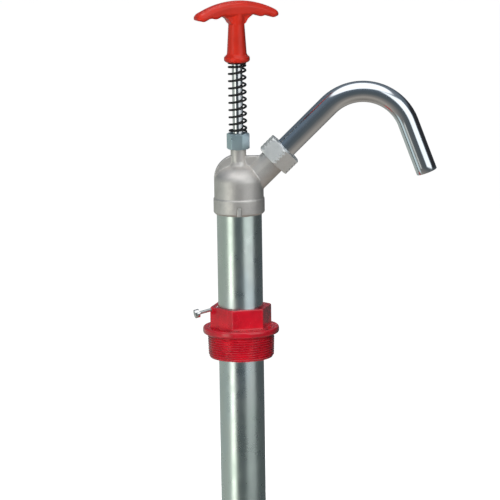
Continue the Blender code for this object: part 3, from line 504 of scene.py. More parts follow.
def notch_tree(look):
    """Small V notches cut across the corners of a nut."""
    tree = GeometryTree(
        "Corner notches",
        {
            "Geometry": ("NodeSocketGeometry", None),
            "Per Corner": ("NodeSocketInt", 4),
            "Corner Radius": ("NodeSocketFloat", 0.018),
            "First": ("NodeSocketFloat", 0.0),
            "Spacing": ("NodeSocketFloat", 0.002),
            "Width": ("NodeSocketFloat", 0.001),
            "First Corner": ("NodeSocketFloat", 0.0),
        },
    )
    per = tree.size("Per Corner")
    corner = tree.math("FLOOR", tree.math("DIVIDE", tree.index, per))
    row = tree.math("SUBTRACT", tree.index, tree.math("MULTIPLY", corner, per))
    angle = tree.math("MULTIPLY_ADD", corner, math.pi / 3, tree.size("First Corner"))
    height = tree.math("MULTIPLY_ADD", row, tree.size("Spacing"), tree.size("First"))
    line = tree.line(tree.math("MULTIPLY", per, 6.0), tree.size("Corner Radius"), angle, height)
    width = tree.size("Width")
    sizes = tree.vector(width, tree.math("MULTIPLY", width, 6.0), width)
    block = tree.add("GeometryNodeMeshCube", {"Size": sizes})
    ragged = tree.add("FunctionNodeRandomValue", {2: 0.7, 3: 1.0}, data_type="FLOAT").outputs[1]
    tilt = tree.vector(0.0, math.pi / 4, angle)
    copies = tree.copies(line, block.outputs[0], tilt, tree.vector(ragged, 1.0, ragged))
    tree.close(tree.cut(copies), look)
    return tree


def strainer_tree(look):
    """Rows of round holes drilled through the wall of a cup."""
    tree = GeometryTree(
        "Strainer holes",
        {
            "Geometry": ("NodeSocketGeometry", None),
            "Around": ("NodeSocketInt", 16),
            "Rows": ("NodeSocketInt", 3),
            "Wall Radius": ("NodeSocketFloat", 0.017),
            "First Row": ("NodeSocketFloat", 0.0),
            "Spacing": ("NodeSocketFloat", 0.005),
            "Hole Radius": ("NodeSocketFloat", 0.0015),
        },
    )
    around = tree.size("Around")
    row = tree.math("FLOOR", tree.math("DIVIDE", tree.index, around))
    turn = tree.math("MULTIPLY_ADD", row, 0.5, tree.index)
    angle = tree.math("DIVIDE", tree.math("MULTIPLY", turn, 2 * math.pi), around)
    height = tree.math("MULTIPLY_ADD", row, tree.size("Spacing"), tree.size("First Row"))
    count = tree.math("MULTIPLY", around, tree.size("Rows"))
    line = tree.line(count, tree.size("Wall Radius"), angle, height)
    sizes = {"Vertices": 16, "Radius": tree.size("Hole Radius"), "Depth": 0.006}
    drill = tree.add("GeometryNodeMeshCylinder", sizes).outputs["Mesh"]
    copies = tree.copies(line, drill, tree.vector(0.0, math.pi / 2, angle))
    tree.close(tree.cut(copies), look)
    return tree


def rivet_tree(look):
    """Round-headed rivets standing out of a tube's wall."""
    tree = GeometryTree(
        "Wall rivets",
        {
            "Count": ("NodeSocketInt", 3),
            "Wall Radius": ("NodeSocketFloat", 0.02),
            "Head Radius": ("NodeSocketFloat", 0.003),
            "Head Height": ("NodeSocketFloat", 0.0008),
            "Level": ("NodeSocketFloat", 0.0),
        },
    )
    count = tree.size("Count")
    angle = tree.math("DIVIDE", tree.math("MULTIPLY", tree.index, 2 * math.pi), count)
    line = tree.line(count, tree.size("Wall Radius"), angle, tree.size("Level"))
    ball = tree.add("GeometryNodeMeshUVSphere", {"Segments": 24, "Rings": 14, "Radius": 1.0}).outputs["Mesh"]
    head = tree.size("Head Radius")
    squash = tree.vector(tree.size("Head Height"), head, head)
    tree.close(tree.copies(line, ball, tree.vector(0.0, 0.0, angle), squash), look)
    return tree


# Finishes.


class Finish(ShaderTree):
    """A Principled material with procedural detail on Object coordinates."""

    def __init__(self, name, **settings):
        self.material = bpy.data.materials.new(name)
        self.material.use_nodes = True
        super().__init__(self.material.node_tree)
        self.shader = self.tree.nodes["Principled BSDF"]
        self.place = self.add("ShaderNodeTexCoord").outputs["Object"]
        self.normal = None
        for key, value in settings.items():
            self.shader.inputs[key.replace("_", " ")].default_value = value

    def noise(self, scale, detail=3.0, stretch=(1, 1, 1), roughness=0.55):
        mapping = self.add("ShaderNodeMapping", {"Vector": self.place, "Scale": stretch})
        values = {"Vector": mapping.outputs[0], "Scale": scale, "Detail": detail, "Roughness": roughness}
        return self.add("ShaderNodeTexNoise", values).outputs["Fac"]

    def drive(self, socket, value):
        self.tree.links.new(value, self.shader.inputs[socket])

    def bump(self, height, depth, strength=1.0):
        """Adds a relief on top of any that is there."""
        values = {"Height": height, "Distance": depth, "Strength": strength}
        if self.normal is not None:
            values["Normal"] = self.normal
        self.normal = self.add("ShaderNodeBump", values).outputs["Normal"]
        self.drive("Normal", self.normal)

    def edges(self, width, colour, amount, base):
        """Lightens the outer edges by their pointiness: a painted highlight where the edges catch the light."""
        pointed = self.add("ShaderNodeNewGeometry").outputs["Pointiness"]
        return self.mix(self.scaled(pointed, 0.0, amount, 0.5, 0.5 + width), base, colour)


def shade(colour, factor):
    return tuple(channel * factor for channel in colour)


def cast_alloy(name, colour, roughness, grain_depth=0.00005):
    """Blasted zinc or aluminium casting."""
    finish = Finish(name, Metallic=0.8, Roughness=roughness)
    cloud = finish.noise(55, 4)
    base = finish.ramp(cloud, [(0.3, shade(colour, 0.86)), (0.5, colour), (0.72, shade(colour, 1.07))])
    speck = finish.noise(1500, 2)
    base = finish.mix(finish.scaled(speck, 0.0, 0.35, 0.45, 0.75), base, shade(colour, 0.72))
    # Painted highlight: the outer edges are lightened by their pointiness.
    finish.drive("Base Color", finish.edges(0.08, shade(colour, 1.25), 0.5, base))
    finish.drive("Roughness", finish.scaled(finish.noise(260, 4), roughness - 0.07, roughness + 0.08))
    finish.bump(finish.noise(800, 4, roughness=0.75), grain_depth * 1.6)
    finish.bump(finish.noise(120, 2), 0.00010, 0.5)
    return finish.material


def zinc_plate(name, colour, roughness=0.29, metallic=1.0):
    """Bright zinc over drawn steel, with fine lines along the draw."""
    finish = Finish(name, Metallic=metallic, Roughness=roughness)
    tint = finish.noise(22, 3, (1, 1, 0.35))
    green = (colour[0] * 0.93, colour[1] * 1.0, colour[2] * 0.95)
    blue = (colour[0] * 0.90, colour[1] * 0.97, colour[2] * 1.06)
    base = finish.ramp(tint, [(0.32, green), (0.5, colour), (0.68, blue)])
    lines = finish.noise(1.0, 3, (2600, 2600, 40))
    base = finish.mix(finish.scaled(lines, 0.0, 0.22), base, shade(colour, 0.74))
    finish.drive("Base Color", base)
    finish.drive("Roughness", finish.scaled(finish.noise(70, 4), roughness - 0.05, roughness + 0.07))
    finish.bump(lines, 0.000003)
    finish.bump(finish.noise(420, 3), 0.000003)
    return finish.material


def chrome_plate(name, colour):
    """Polished chrome with the faint ripple of bent tube."""
    finish = Finish(name, Metallic=1.0, Roughness=0.05)
    cloud = finish.noise(40, 2)
    finish.drive("Base Color", finish.ramp(cloud, [(0.3, shade(colour, 0.94)), (0.7, colour)]))
    finish.drive("Roughness", finish.scaled(finish.noise(180, 5), 0.09, 0.14))
    finish.bump(finish.noise(26, 2), 0.00009)
    finish.bump(finish.noise(1900, 2), 0.000002)
    return finish.material


def ground_steel(name, colour, roughness=0.14):
    """Bright ground bar with fine lines round it."""
    finish = Finish(name, Metallic=1.0, Roughness=roughness)
    lines = finish.noise(1.0, 2, (60, 60, 5200))
    finish.drive("Base Color", finish.mix(finish.scaled(lines, 0.0, 0.3), colour, shade(colour, 0.78)))
    finish.drive("Roughness", finish.scaled(finish.noise(300, 3), roughness - 0.04, roughness + 0.08))
    finish.bump(lines, 0.000004)
    return finish.material


def moulded_plastic(name, colour, roughness=0.36):
    """Injection moulded plastic with a fine texture and slight gloss changes."""
    finish = Finish(name, Roughness=roughness, Coat_Weight=0.25, Coat_Roughness=0.2, Specular_IOR_Level=0.3)
    cloud = finish.noise(42, 4)
    base = finish.ramp(cloud, [(0.3, shade(colour, 0.84)), (0.52, colour), (0.75, shade(colour, 1.10))])
    # Painted highlight: the outer edges are lightened by their pointiness.
    finish.drive("Base Color", finish.edges(0.1, shade(colour, 1.35), 0.4, base))
    finish.drive("Roughness", finish.scaled(finish.noise(160, 4), roughness - 0.07, roughness + 0.09))
    finish.bump(finish.noise(1400, 3), 0.000028)
    finish.bump(finish.noise(70, 2), 0.00012, 0.6)
    return finish.material


def enamel(name, colour):
    """Thick gloss enamel over a cast surface, with a painted highlight along its edges."""
    finish = Finish(name, Roughness=0.26, Coat_Weight=0.7, Coat_Roughness=0.05, Specular_IOR_Level=0.3)
    cloud = finish.noise(60, 4)
    base = finish.ramp(cloud, [(0.3, shade(colour, 0.74)), (0.5, colour), (0.7, shade(colour, 1.15))])
    # Painted highlight: a lighter, whiter red laid on the outer edges.
    light = (min(colour[0] * 1.2, 1.0), colour[1] * 1.2 + 0.10, colour[2] * 1.2 + 0.12)
    finish.drive("Base Color", finish.edges(0.07, light, 0.45, base))
    finish.drive("Roughness", finish.scaled(finish.noise(240, 4), 0.14, 0.3))
    finish.bump(finish.noise(330, 3), 0.00016)
    finish.bump(finish.noise(150, 3), 0.0004, 0.8)
    return finish.material


def oiled_black(name):
    """Blackened spring wire with a thin oil shine."""
    finish = Finish(name, Metallic=0.75, Roughness=0.34, Coat_Weight=0.25, Coat_Roughness=0.2)
    cloud = finish.noise(300, 3)
    stops = [(0.3, (0.012, 0.012, 0.013)), (0.7, (0.035, 0.034, 0.036))]
    finish.drive("Base Color", finish.ramp(cloud, stops))
    finish.drive("Roughness", finish.scaled(finish.noise(700, 3), 0.26, 0.44))
    finish.bump(finish.noise(1600, 2), 0.00001)
    return finish.material


def machined_brass(name):
    """Bright turned brass with fine lines round it."""
    finish = Finish(name, Metallic=1.0, Roughness=0.28)
    lines = finish.noise(1.0, 2, (90, 90, 3600))
    colour = (0.72, 0.52, 0.22)
    finish.drive("Base Color", finish.mix(finish.scaled(lines, 0.0, 0.35), colour, shade(colour, 0.7)))
    finish.drive("Roughness", finish.scaled(finish.noise(220, 3), 0.2, 0.36))
    finish.bump(lines, 0.000008)
    return finish.material


def soft_rubber(name):
    """Matt black nitrile rubber."""
    finish = Finish(name, Roughness=0.68)
    cloud = finish.noise(240, 4)
    stops = [(0.3, (0.016, 0.016, 0.017)), (0.7, (0.032, 0.032, 0.033))]
    finish.drive("Base Color", finish.ramp(cloud, stops))
    finish.bump(finish.noise(1300, 3), 0.00003)
    return finish.material


def pale_polymer(name):
    """Off-white engineering polymer that lets a little light in."""
    finish = Finish(name, Roughness=0.48, Subsurface_Weight=0.1)
    cloud = finish.noise(120, 4)
    finish.drive("Base Color", finish.ramp(cloud, [(0.3, (0.66, 0.65, 0.60)), (0.7, (0.76, 0.75, 0.71))]))
    finish.bump(finish.noise(1000, 3), 0.00002)
    return finish.material


# Settings.


def length_setting(name, description, metres):
    return FloatProperty(name=name, description=description, default=metres, unit="LENGTH")


def angle_setting(name, description, degrees):
    return FloatProperty(name=name, description=description, default=math.radians(degrees), subtype="ANGLE")


def colour_setting(name, description, value):
    return FloatVectorProperty(name=name, description=description, default=value, subtype="COLOR")


class FinishSettings(bpy.types.PropertyGroup):
    handle: colour_setting("Handle", "Colour of the moulded T-handle", (0.70, 0.030, 0.014))
    adapter: colour_setting("Adapter", "Colour of the adapter's enamel", (0.66, 0.006, 0.022))
    casting: colour_setting("Casting", "Colour of the blasted castings", (0.72, 0.69, 0.66))
    zinc: colour_setting("Zinc", "Colour of the zinc-plated barrel", (0.68, 0.73, 0.70))
    chrome: colour_setting("Chrome", "Colour of the chromed spout", (0.78, 0.81, 0.85))


class HandleSettings(bpy.types.PropertyGroup):
    depth: length_setting("Depth", "Thickness of the grip", 0.0150)
    sag: length_setting("Sag", "Drop of the grip's top at its tips", 0.0110)
    tip: length_setting("Tip", "Height of the grip at its tips", 0.0052)
    middle: length_setting("Middle", "Height of the grip at its middle", 0.0130)
    crown: length_setting("Crown", "Height of the bevel along the top", 0.0044)
    scallop: length_setting("Scallop", "Depth of the finger hollows", 0.0008)
    turn: angle_setting("Turn", "Angle of the grip from the spout", 25)


class HeadSettings(bpy.types.PropertyGroup):
    body: length_setting("Body", "Radius above the collar", 0.0222)
    collar: length_setting("Collar", "Height of the collar", 0.0140)
    shoulder: length_setting("Shoulder", "Height of the straight side", 0.0331)
    dome: length_setting("Dome", "Height of the dome", 0.0100)
    neck: length_setting("Neck", "Radius of the neck", 0.0070)
    branch: length_setting("Branch", "Radius of the outlet branch", 0.0119)
    rib: length_setting("Rib", "Thickness of the flat rib", 0.0070)
    wall: length_setting("Wall", "Wall of the casting", 0.0038)
    grain: length_setting("Grain", "Size of the skin's facets", 0.00045)


class SpoutSettings(bpy.types.PropertyGroup):
    wall: length_setting("Wall", "Wall of the tube", 0.0012)
    bend: length_setting("Bend", "Radius of the bend", 0.0435)
    run: length_setting("Run", "From the pump's axis to the bend", 0.11345)
    fall: angle_setting("Fall", "Angle of the end below level", 69.9)
    tail: length_setting("Tail", "Straight end of the tube", 0.0478)
    notches: IntProperty(name="Notches", description="Notches on each corner of the union nut", default=4)


class AdapterSettings(bpy.types.PropertyGroup):
    flats: length_setting("Flats", "Across flats of the hexagon", 0.0495)
    flange: length_setting("Flange", "Thickness of the flange", 0.0062)
    turn: angle_setting("Turn", "Angle of a corner from the spout", 14.4)
    pitch: length_setting("Pitch", "Pitch of the pipe thread", 0.002209)
    thread: length_setting("Thread", "Depth of the pipe thread", 0.0013)
    taper: FloatProperty(name="Taper", description="Loss of radius along the thread", default=1 / 32)


class SpringSettings(bpy.types.PropertyGroup):
    wire: length_setting("Wire", "Diameter of the wire", 0.00195)
    open_turns: FloatProperty(name="Open turns", description="Turns at full pitch", default=8.25)
    closed_turns: FloatProperty(name="Closed turns", description="Closed turns at each end", default=0.5)
    ramp_turns: FloatProperty(name="Ramp turns", description="Turns over which the pitch opens", default=0.5)


class StageSettings(bpy.types.PropertyGroup):
    distance: length_setting("Distance", "Camera to the adapter", 3.5)
    height: angle_setting("Height", "Camera's angle above the adapter", 11.5)
    pitch: angle_setting("Pitch", "Camera's tilt below level", 10.329)
    yaw: angle_setting("Yaw", "Camera's turn to the right", 0.1526)
    roll: angle_setting("Roll", "Camera's roll", -0.858)
    lens: FloatProperty(name="Lens", description="Focal length in millimetres", default=278.9)
    lift: length_setting("Lift", "Height of the point that the camera circles", 0.0024)
    floor: length_setting("Floor", "Gap between strainer and floor", 0.004)


SETTINGS = {
    "pump_finishes": FinishSettings,
    "pump_handle": HandleSettings,
    "pump_head": HeadSettings,
    "pump_spout": SpoutSettings,
    "pump_adapter": AdapterSettings,
    "pump_spring": SpringSettings,
    "pump_stage": StageSettings,
}


# Pieces.


class PUMP_OT_handle(bpy.types.Operator):
    """Mould the T-handle round its stem"""

    bl_idname = "pump.handle"
    bl_label = "T-handle"

    def section(self, x, half, crest, settings):
        """Ring of points across the grip at a distance along it from the middle."""
        reach = abs(x) / half
        arch = (half**2 + settings.sag**2) / (2 * settings.sag)
        top = crest - arch + math.sqrt(arch**2 - x**2)
        tip_bottom = crest - settings.sag - settings.tip
        middle_bottom = crest - settings.middle
        blend = min(1.0, max(0.0, (1 - reach) / 0.72))
        blend = blend * blend * (3 - 2 * blend) * 0.4 + blend * 0.6
        hollow = settings.scallop * math.sin(4 * math.pi * min(1.0, max(0.0, (reach - 0.30) / 0.62)))
        bottom = tip_bottom + (middle_bottom - tip_bottom) * blend + hollow
        width = settings.depth / 2
        closing = max(0.0, (reach - 0.88) / 0.12)
        shrink = math.sqrt(max(0.0, 1 - closing**2)) * 0.62 + 0.38
        width *= shrink
        middle = (top + bottom) / 2
        top = middle + (top - middle) * shrink
        bottom = middle + (bottom - middle) * shrink
        crown = min(settings.crown, (top - bottom) * 0.5)
        edge = min(0.0016, (top - bottom) * 0.3)
        outline = [
            (width - edge, bottom),
            (width, bottom + edge),
            (width, top - crown),
            (width - crown * 0.30, top - crown * 0.42),
            (width - crown * 0.95, top - crown * 0.06),
            (width * 0.25, top),
        ]
        mirrored = [(-y, z) for y, z in reversed(outline)]
        return [(x, y, z) for y, z in outline + mirrored]

    def execute(self, context):
        settings = context.scene.pump_handle
        base = low("t_handle").z
        crest = high("t_handle").z
        grip_way = Vector((math.cos(settings.turn), math.sin(settings.turn), 0))
        half = span_along("t_handle", ORIGIN, grip_way)[1]
        steps = 64
        reaches = [math.sin(math.pi / 2 * (2 * i / steps - 1)) for i in range(steps + 1)]
        grip = loft("handle_moulding", [self.section(half * r, half, crest, settings) for r in reaches])
        collar = 0.0116
        rise = 0.0058
        under = crest - settings.middle
        stem = [
            (0, under + 0.006),
            (0.0075, under + 0.006),
            (0.0076, under - 0.0045),
            (0.0072, under - 0.0075),
            (0.0089, base + rise + 0.0014),
            (0.0101, base + rise),
            (collar, base + rise - 0.0015),
            (collar, base + 0.0015),
            (collar - 0.0015, base),
            (0, base),
        ]
        parts = [lathe("stem", rounded(stem, 0.0006), 96)]
        for side in (-1, 1):
            gusset = [
                (side * 0.0040, under + 0.003),
                (side * 0.0165, under + 0.002),
                (side * 0.0130, under - 0.0006),
                (side * 0.0095, under - 0.0030),
                (side * 0.0072, under - 0.0068),
                (side * 0.0040, under - 0.0085),
            ]
            rings = [[(x, y, z) for x, z in gusset] for y in (-0.0052, 0.0052)]
            parts.append(loft("gusset", rings))
        merge(grip, parts)
        cast(grip, 0.0004, 7)
        pocket = high("handle_insert").z + GAP
        wide = radius_of("handle_insert") + GAP
        start = low("handle_insert").z - GAP
        mouth = base - 2 * OVERRUN
        hollow = [(0, pocket), (wide, pocket), (wide, start)]
        hollow += [(ROD_HOLE, start), (ROD_HOLE, mouth), (0, mouth)]
        combine(grip, lathe("pocket", hollow, 64))
        grip.data.transform(Matrix.Rotation(settings.turn, 4, "Z"))
        look = moulded_plastic("Moulded handle", tuple(context.scene.pump_finishes.handle))
        finish_piece(grip, "plunger", ["t_handle"], look, 50)
        return {"FINISHED"}


class PUMP_OT_rod(bpy.types.Operator):
    """Turn the piston rod"""

    bl_idname = "pump.rod"
    bl_label = "Piston rod"

    def execute(self, context):
        top = high("piston_rod").z
        bottom = low("piston_rod").z
        radius = radius_of("piston_rod")
        shoulder = high("valve_stop").z + GAP
        tail = 0.0030
        profile = [
            (0, top),
            (radius, top, 0.0008),
            (radius, shoulder, 0.0003),
            (tail, shoulder, 0.0003),
            (tail, bottom, 0.0005),
            (0, bottom),
        ]
        rod = lathe("plunger_rod", rounded(profile, 0.0004), 64)
        look = ground_steel("Ground rod", (0.72, 0.73, 0.74))
        finish_piece(rod, "plunger", ["piston_rod"], look)
        return {"FINISHED"}


class PUMP_OT_spring(bpy.types.Operator):
    """Wind the cushion spring and turn its washer"""

    bl_idname = "pump.spring"
    bl_label = "Cushion spring"

    def execute(self, context):
        settings = context.scene.pump_spring
        look = oiled_black("Oiled spring wire")
        bottom = low("cushion_spring").z
        top = high("cushion_spring").z
        wire = settings.wire
        turns = settings.open_turns + 2 * (settings.closed_turns + settings.ramp_turns)
        height = top - bottom - wire
        closed_pitch = wire * 1.03
        open_turns = settings.open_turns + settings.ramp_turns
        spring = mesh_object("spring_wire", [(0, 0, 0)], [])
        tree = spring_tree(look)
        tree.run(
            spring,
            {
                "Turns": turns,
                "Steps": 40,
                "Coil Radius": radius_of("cushion_spring") - wire / 2,
                "Wire Radius": wire / 2,
                "Height": height,
                "Closed Pitch": closed_pitch,
                "Open Pitch": closed_pitch + (height - closed_pitch * turns) / open_turns,
                "Closed Turns": settings.closed_turns,
                "Ramp Turns": settings.ramp_turns,
                "Base": bottom + wire / 2,
            },
        )
        finish_piece(spring, "pump", ["cushion_spring"], look)
        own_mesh(spring)
        under, over = low("spring_washer").z, high("spring_washer").z
        rim = radius_of("spring_washer")
        ring = [(rim, over), (rim, under), (ROD_HOLE, under), (ROD_HOLE, over)]
        washer = lathe("spring_cap_washer", rounded(ring, 0.0002, 3), 64)
        finish_piece(washer, "spring_cap", ["spring_washer"], look)
        return {"FINISHED"}


class PUMP_OT_gland(bpy.types.Operator):
    """Mill the gland nut"""

    bl_idname = "pump.gland"
    bl_label = "Gland nut"

    def execute(self, context):
        bottom = low("gland_nut").z
        top = high("gland_nut").z
        flats = reach_from("gland_nut", ORIGIN, UP)[1] * math.sqrt(3)
        nut = hex_prism("gland_hexagon", flats, bottom, top, NUT_CHAMFER, turn=-8.5, edge=0.00024)
        ceiling = high("gland_follower").z + GAP
        neck = context.scene.pump_head.neck + GAP
        inside = [
            (0, top + OVERRUN),
            (ROD_HOLE + 0.0011, top + OVERRUN),
            (ROD_HOLE, top - 0.0006),
            (ROD_HOLE, ceiling),
            (neck, ceiling),
            (neck, bottom + 0.0006),
            (neck + 0.0012, bottom - OVERRUN),
            (0, bottom - OVERRUN),
        ]
        combine(nut, lathe("gland_bore", inside, 64), solver="EXACT")
        look = zinc_plate("Blue zinc", (0.55, 0.67, 0.75), 0.30, 0.8)
        finish_piece(nut, "gland", ["gland_nut"], look, 22)
        return {"FINISHED"}


class PUMP_OT_head(bpy.types.Operator):
    """Cast the pump head with its rib, branch and key"""

    bl_idname = "pump.head"
    bl_label = "Pump head"

    def outer_profile(self, settings):
        bottom = low("pump_head").z
        top = high("pump_head").z
        collar = radius_of_collar()
        shoulder = bottom + settings.shoulder
        crown = shoulder + settings.dome
        collar_top = bottom + settings.collar
        neck = settings.neck
        flare = 0.0030
        return (
            [(0, top), (neck - 0.0006, top), (neck, top - 0.0006), (neck, top - 0.016)]
            + arc(neck + 0.0006 + flare, crown + flare, flare, flare, 180, 250, 8)
            + arc(0, shoulder - DOME_SINK, settings.body, settings.dome + DOME_RISE + DOME_SINK, 66, 0, 28)
            + [
                (settings.body, collar_top + 0.0007),
                (collar, collar_top),
                (collar, bottom + 0.0018),
                (collar - 0.0017, bottom),
                (0, bottom),
            ]
        )

    def rib(self, settings, level):
        """Flat rib in the spout's plane, following the body's round and the neck."""
        bottom = low("pump_head").z
        shoulder = bottom + settings.shoulder
        outline = arc(0, shoulder - 0.0016, settings.body, settings.body, 184, 104, 28)
        shelf = shoulder + settings.dome + 0.0090
        outline += [
            (settings.neck - 0.002, outline[-1][1]),
            (settings.neck - 0.001, shelf),
            (shelf - level - settings.branch * 0.8 * math.sqrt(2), shelf),
            (settings.body * 0.9, shelf - 0.012),
            (settings.body * 0.9, shoulder - 0.003),
        ]
        half = settings.rib / 2
        return loft("rib", [[(x, y, z) for x, z in outline] for y in (-half, half)])

    def execute(self, context):
        settings = context.scene.pump_head
        bottom = low("pump_head").z
        top = high("pump_head").z
        level = branch_level()
        origin = Vector((0, 0, level))
        length = span_along("spout_seal", origin, BRANCH_AXIS)[0] - GAP
        place = upright(origin, BRANCH_AXIS)
        head = lathe("head_casting", self.outer_profile(settings), 120)
        branch = [(0, length), (settings.branch, length, 0.0004), (settings.branch, 0), (0, 0)]
        bead = lathe("branch", rounded(branch, 0.0004), 96, place)
        merge(head, [bead, self.rib(settings, level)])
        cast(head, settings.grain, 6)

        shoulder = bottom + settings.shoulder
        inside = settings.body - settings.wall
        crown = settings.dome - settings.wall
        ceiling = high("head_gasket").z + GAP
        socket = radius_of("barrel_tube") + GAP
        over = top + 2 * OVERRUN
        under = bottom - 2 * OVERRUN
        chamber = (
            [(0, over), (ROD_HOLE, over), (ROD_HOLE, shoulder + crown)]
            + arc(0, shoulder, inside, crown, 70, 0, 12)
            + [(inside, ceiling), (socket, ceiling), (socket, under), (0, under)]
        )
        combine(head, lathe("chamber", chamber, 120))
        tube = reach_from("spout_tube", BRANCH_POINT, BRANCH_AXIS)[0] + 0.0021
        seat = span_along("spout_ferrule", origin, BRANCH_AXIS)[0] - SEAT_DEPTH
        passage = 0.0080
        end = length + 2 * OVERRUN
        waterway = [(0, end), (tube, end), (tube, seat), (passage, seat), (passage, 0), (0, 0)]
        combine(head, lathe("waterway", waterway, 96, place))
        self.key(context, head)
        look = cast_alloy("Blasted casting", tuple(context.scene.pump_finishes.casting), 0.48)
        finish_piece(head, "pump", ["pump_head"], look, 45)
        return {"FINISHED"}

    def pill(self, name, half, bottom, top, front, back):
        outline = arc(0, top - half, half, half, 180, 0, 20) + [(half, bottom), (-half, bottom)]
        return loft(name, [[(x, y, z) for x, z in outline] for y in (front, back)])

    def key(self, context, head):
        """Cut the key's slot in the collar, and fit the key."""
        box = (low("locating_key"), high("locating_key"))
        half = (box[1].x - box[0].x) / 2
        gap = 0.0008
        front, back = box[0].y - 0.003, box[1].y + 0.0002
        slot = self.pill("slot", half + gap, box[0].z - 0.003, box[1].z + gap, back, front)
        combine(head, slot)
        key = self.pill("collar_key", half, box[0].z, box[1].z, box[0].y, box[1].y)
        break_edges(key, 0.0004, 3, 40)
        look = cast_alloy("Key steel", (0.85, 0.83, 0.80), 0.38, 0.00002)
        finish_piece(key, "pump", ["locating_key"], look)


class PUMP_OT_barrel(bpy.types.Operator):
    """Draw the barrel"""

    bl_idname = "pump.barrel"
    bl_label = "Barrel"

    def execute(self, context):
        box = (low("barrel_tube").z, high("barrel_tube").z)
        outer = radius_of("barrel_tube")
        inner = outer - 0.0015
        profile = rounded([(outer, box[1]), (outer, box[0]), (inner, box[0]), (inner, box[1])], 0.0003, 3)
        barrel = lathe("plated_barrel", profile, 160)
        look = zinc_plate("Zinc-plated barrel", tuple(context.scene.pump_finishes.zinc))
        finish_piece(barrel, "pump", ["barrel_tube"], look)
        return {"FINISHED"}


class PUMP_OT_spout(bpy.types.Operator):
    """Bend the spout, and cast its union nut"""

    bl_idname = "pump.spout"
    bl_label = "Spout and union nut"

    def path(self, settings, start):
        """Centreline of the spout with its tangents."""
        rise = math.atan2(BRANCH_AXIS.z, BRANCH_AXIS.x)
        fall = settings.fall
        origin = Vector((0, 0, branch_level()))
        bend_start = origin + BRANCH_AXIS * settings.run
        centre = bend_start + Vector((BRANCH_AXIS.z, 0, -BRANCH_AXIS.x)) * settings.bend
        down = Vector((math.cos(fall), 0, -math.sin(fall)))
        points = []
        for i in range(9):
            points.append((origin + BRANCH_AXIS * (start + (settings.run - start) * i / 9), BRANCH_AXIS))
        steps = 56
        for i in range(steps + 1):
            angle = rise - (rise + fall) * i / steps
            place = centre + Vector((-math.sin(angle), 0, math.cos(angle))) * settings.bend
            points.append((place, Vector((math.cos(angle), 0, math.sin(angle)))))
        end = points[-1][0]
        for i in range(1, 9):
            points.append((end + down * settings.tail * i / 8, down))
        return points

    def tube(self, points, outer, inner, sides):
        """A hollow tube along the path, with its ends rounded over."""
        lip = 0.0004
        rows = [(0, lip * 0.3, outer - lip * 0.3), (0, lip, outer)]
        rows += [(i, 0, outer) for i in range(1, len(points) - 1)]
        last = len(points) - 1
        rows += [(last, -lip, outer), (last, -lip * 0.3, outer - lip * 0.3), (last, 0, outer - lip)]
        rows += [(last, 0, inner + lip), (last, -lip, inner)]
        rows += [(i, 0, inner) for i in range(last - 1, 0, -1)]
        rows += [(0, lip, inner), (0, 0, inner + lip), (0, 0, outer - lip)]
        vertices = []
        for index, shift, radius in rows:
            place, tangent = points[index]
            side = Vector((0, 1, 0))
            normal = side.cross(tangent)
            for i in range(sides):
                angle = 2 * math.pi * i / sides
                way = side * math.cos(angle) + normal * math.sin(angle)
                vertices.append(place + tangent * shift + way * radius)
        return mesh_object("spout_gooseneck", vertices, bands(len(rows), sides, closed=True))

    def execute(self, context):
        settings = context.scene.pump_spout
        origin = Vector((0, 0, branch_level()))
        outer = (high("spout_tube").y - low("spout_tube").y) / 2
        start = span_along("spout_ferrule", origin, BRANCH_AXIS)[0] - TUBE_END
        spout = self.tube(self.path(settings, start), outer, outer - settings.wall, 72)
        look = chrome_plate("Chromed spout", tuple(context.scene.pump_finishes.chrome))
        finish_piece(spout, "spout", ["spout_tube"], look, 60)

        bottom, top = span_along("union_nut", origin, BRANCH_AXIS)
        corner = reach_from("union_nut", origin, BRANCH_AXIS)[1]
        flats = corner * math.sqrt(3)
        place = upright(origin, BRANCH_AXIS)
        nut = hex_prism("union_hexagon", flats, bottom, top, NUT_CHAMFER, turn=90, edge=0.0003)
        look = cast_alloy("Cast union nut", (0.86, 0.87, 0.86), 0.40, 0.00003)
        tree = notch_tree(look)
        count = settings.notches
        pitch = (top - bottom) / (count + 0.6)
        tree.run(
            nut,
            {
                "Per Corner": count,
                "Corner Radius": corner + 0.0001,
                "First": bottom + pitch * 0.8,
                "Spacing": pitch,
                "Width": 0.0024,
                "First Corner": math.pi / 2,
            },
        )
        ceiling = span_along("spout_ferrule", origin, BRANCH_AXIS)[1] + GAP
        bore = outer + 0.00035
        wide = context.scene.pump_head.branch + GAP
        inside = [
            (0, top + OVERRUN),
            (bore + 0.0012, top + OVERRUN),
            (bore, top - 0.0004),
            (bore, ceiling),
            (wide, ceiling),
            (wide, bottom + 0.0005),
            (wide + 0.0013, bottom - OVERRUN),
            (0, bottom - OVERRUN),
        ]
        combine(nut, lathe("union_bore", inside, 96), solver="EXACT")
        nut.data.transform(place)
        finish_piece(nut, "union", ["union_nut"], look, 22)
        return {"FINISHED"}


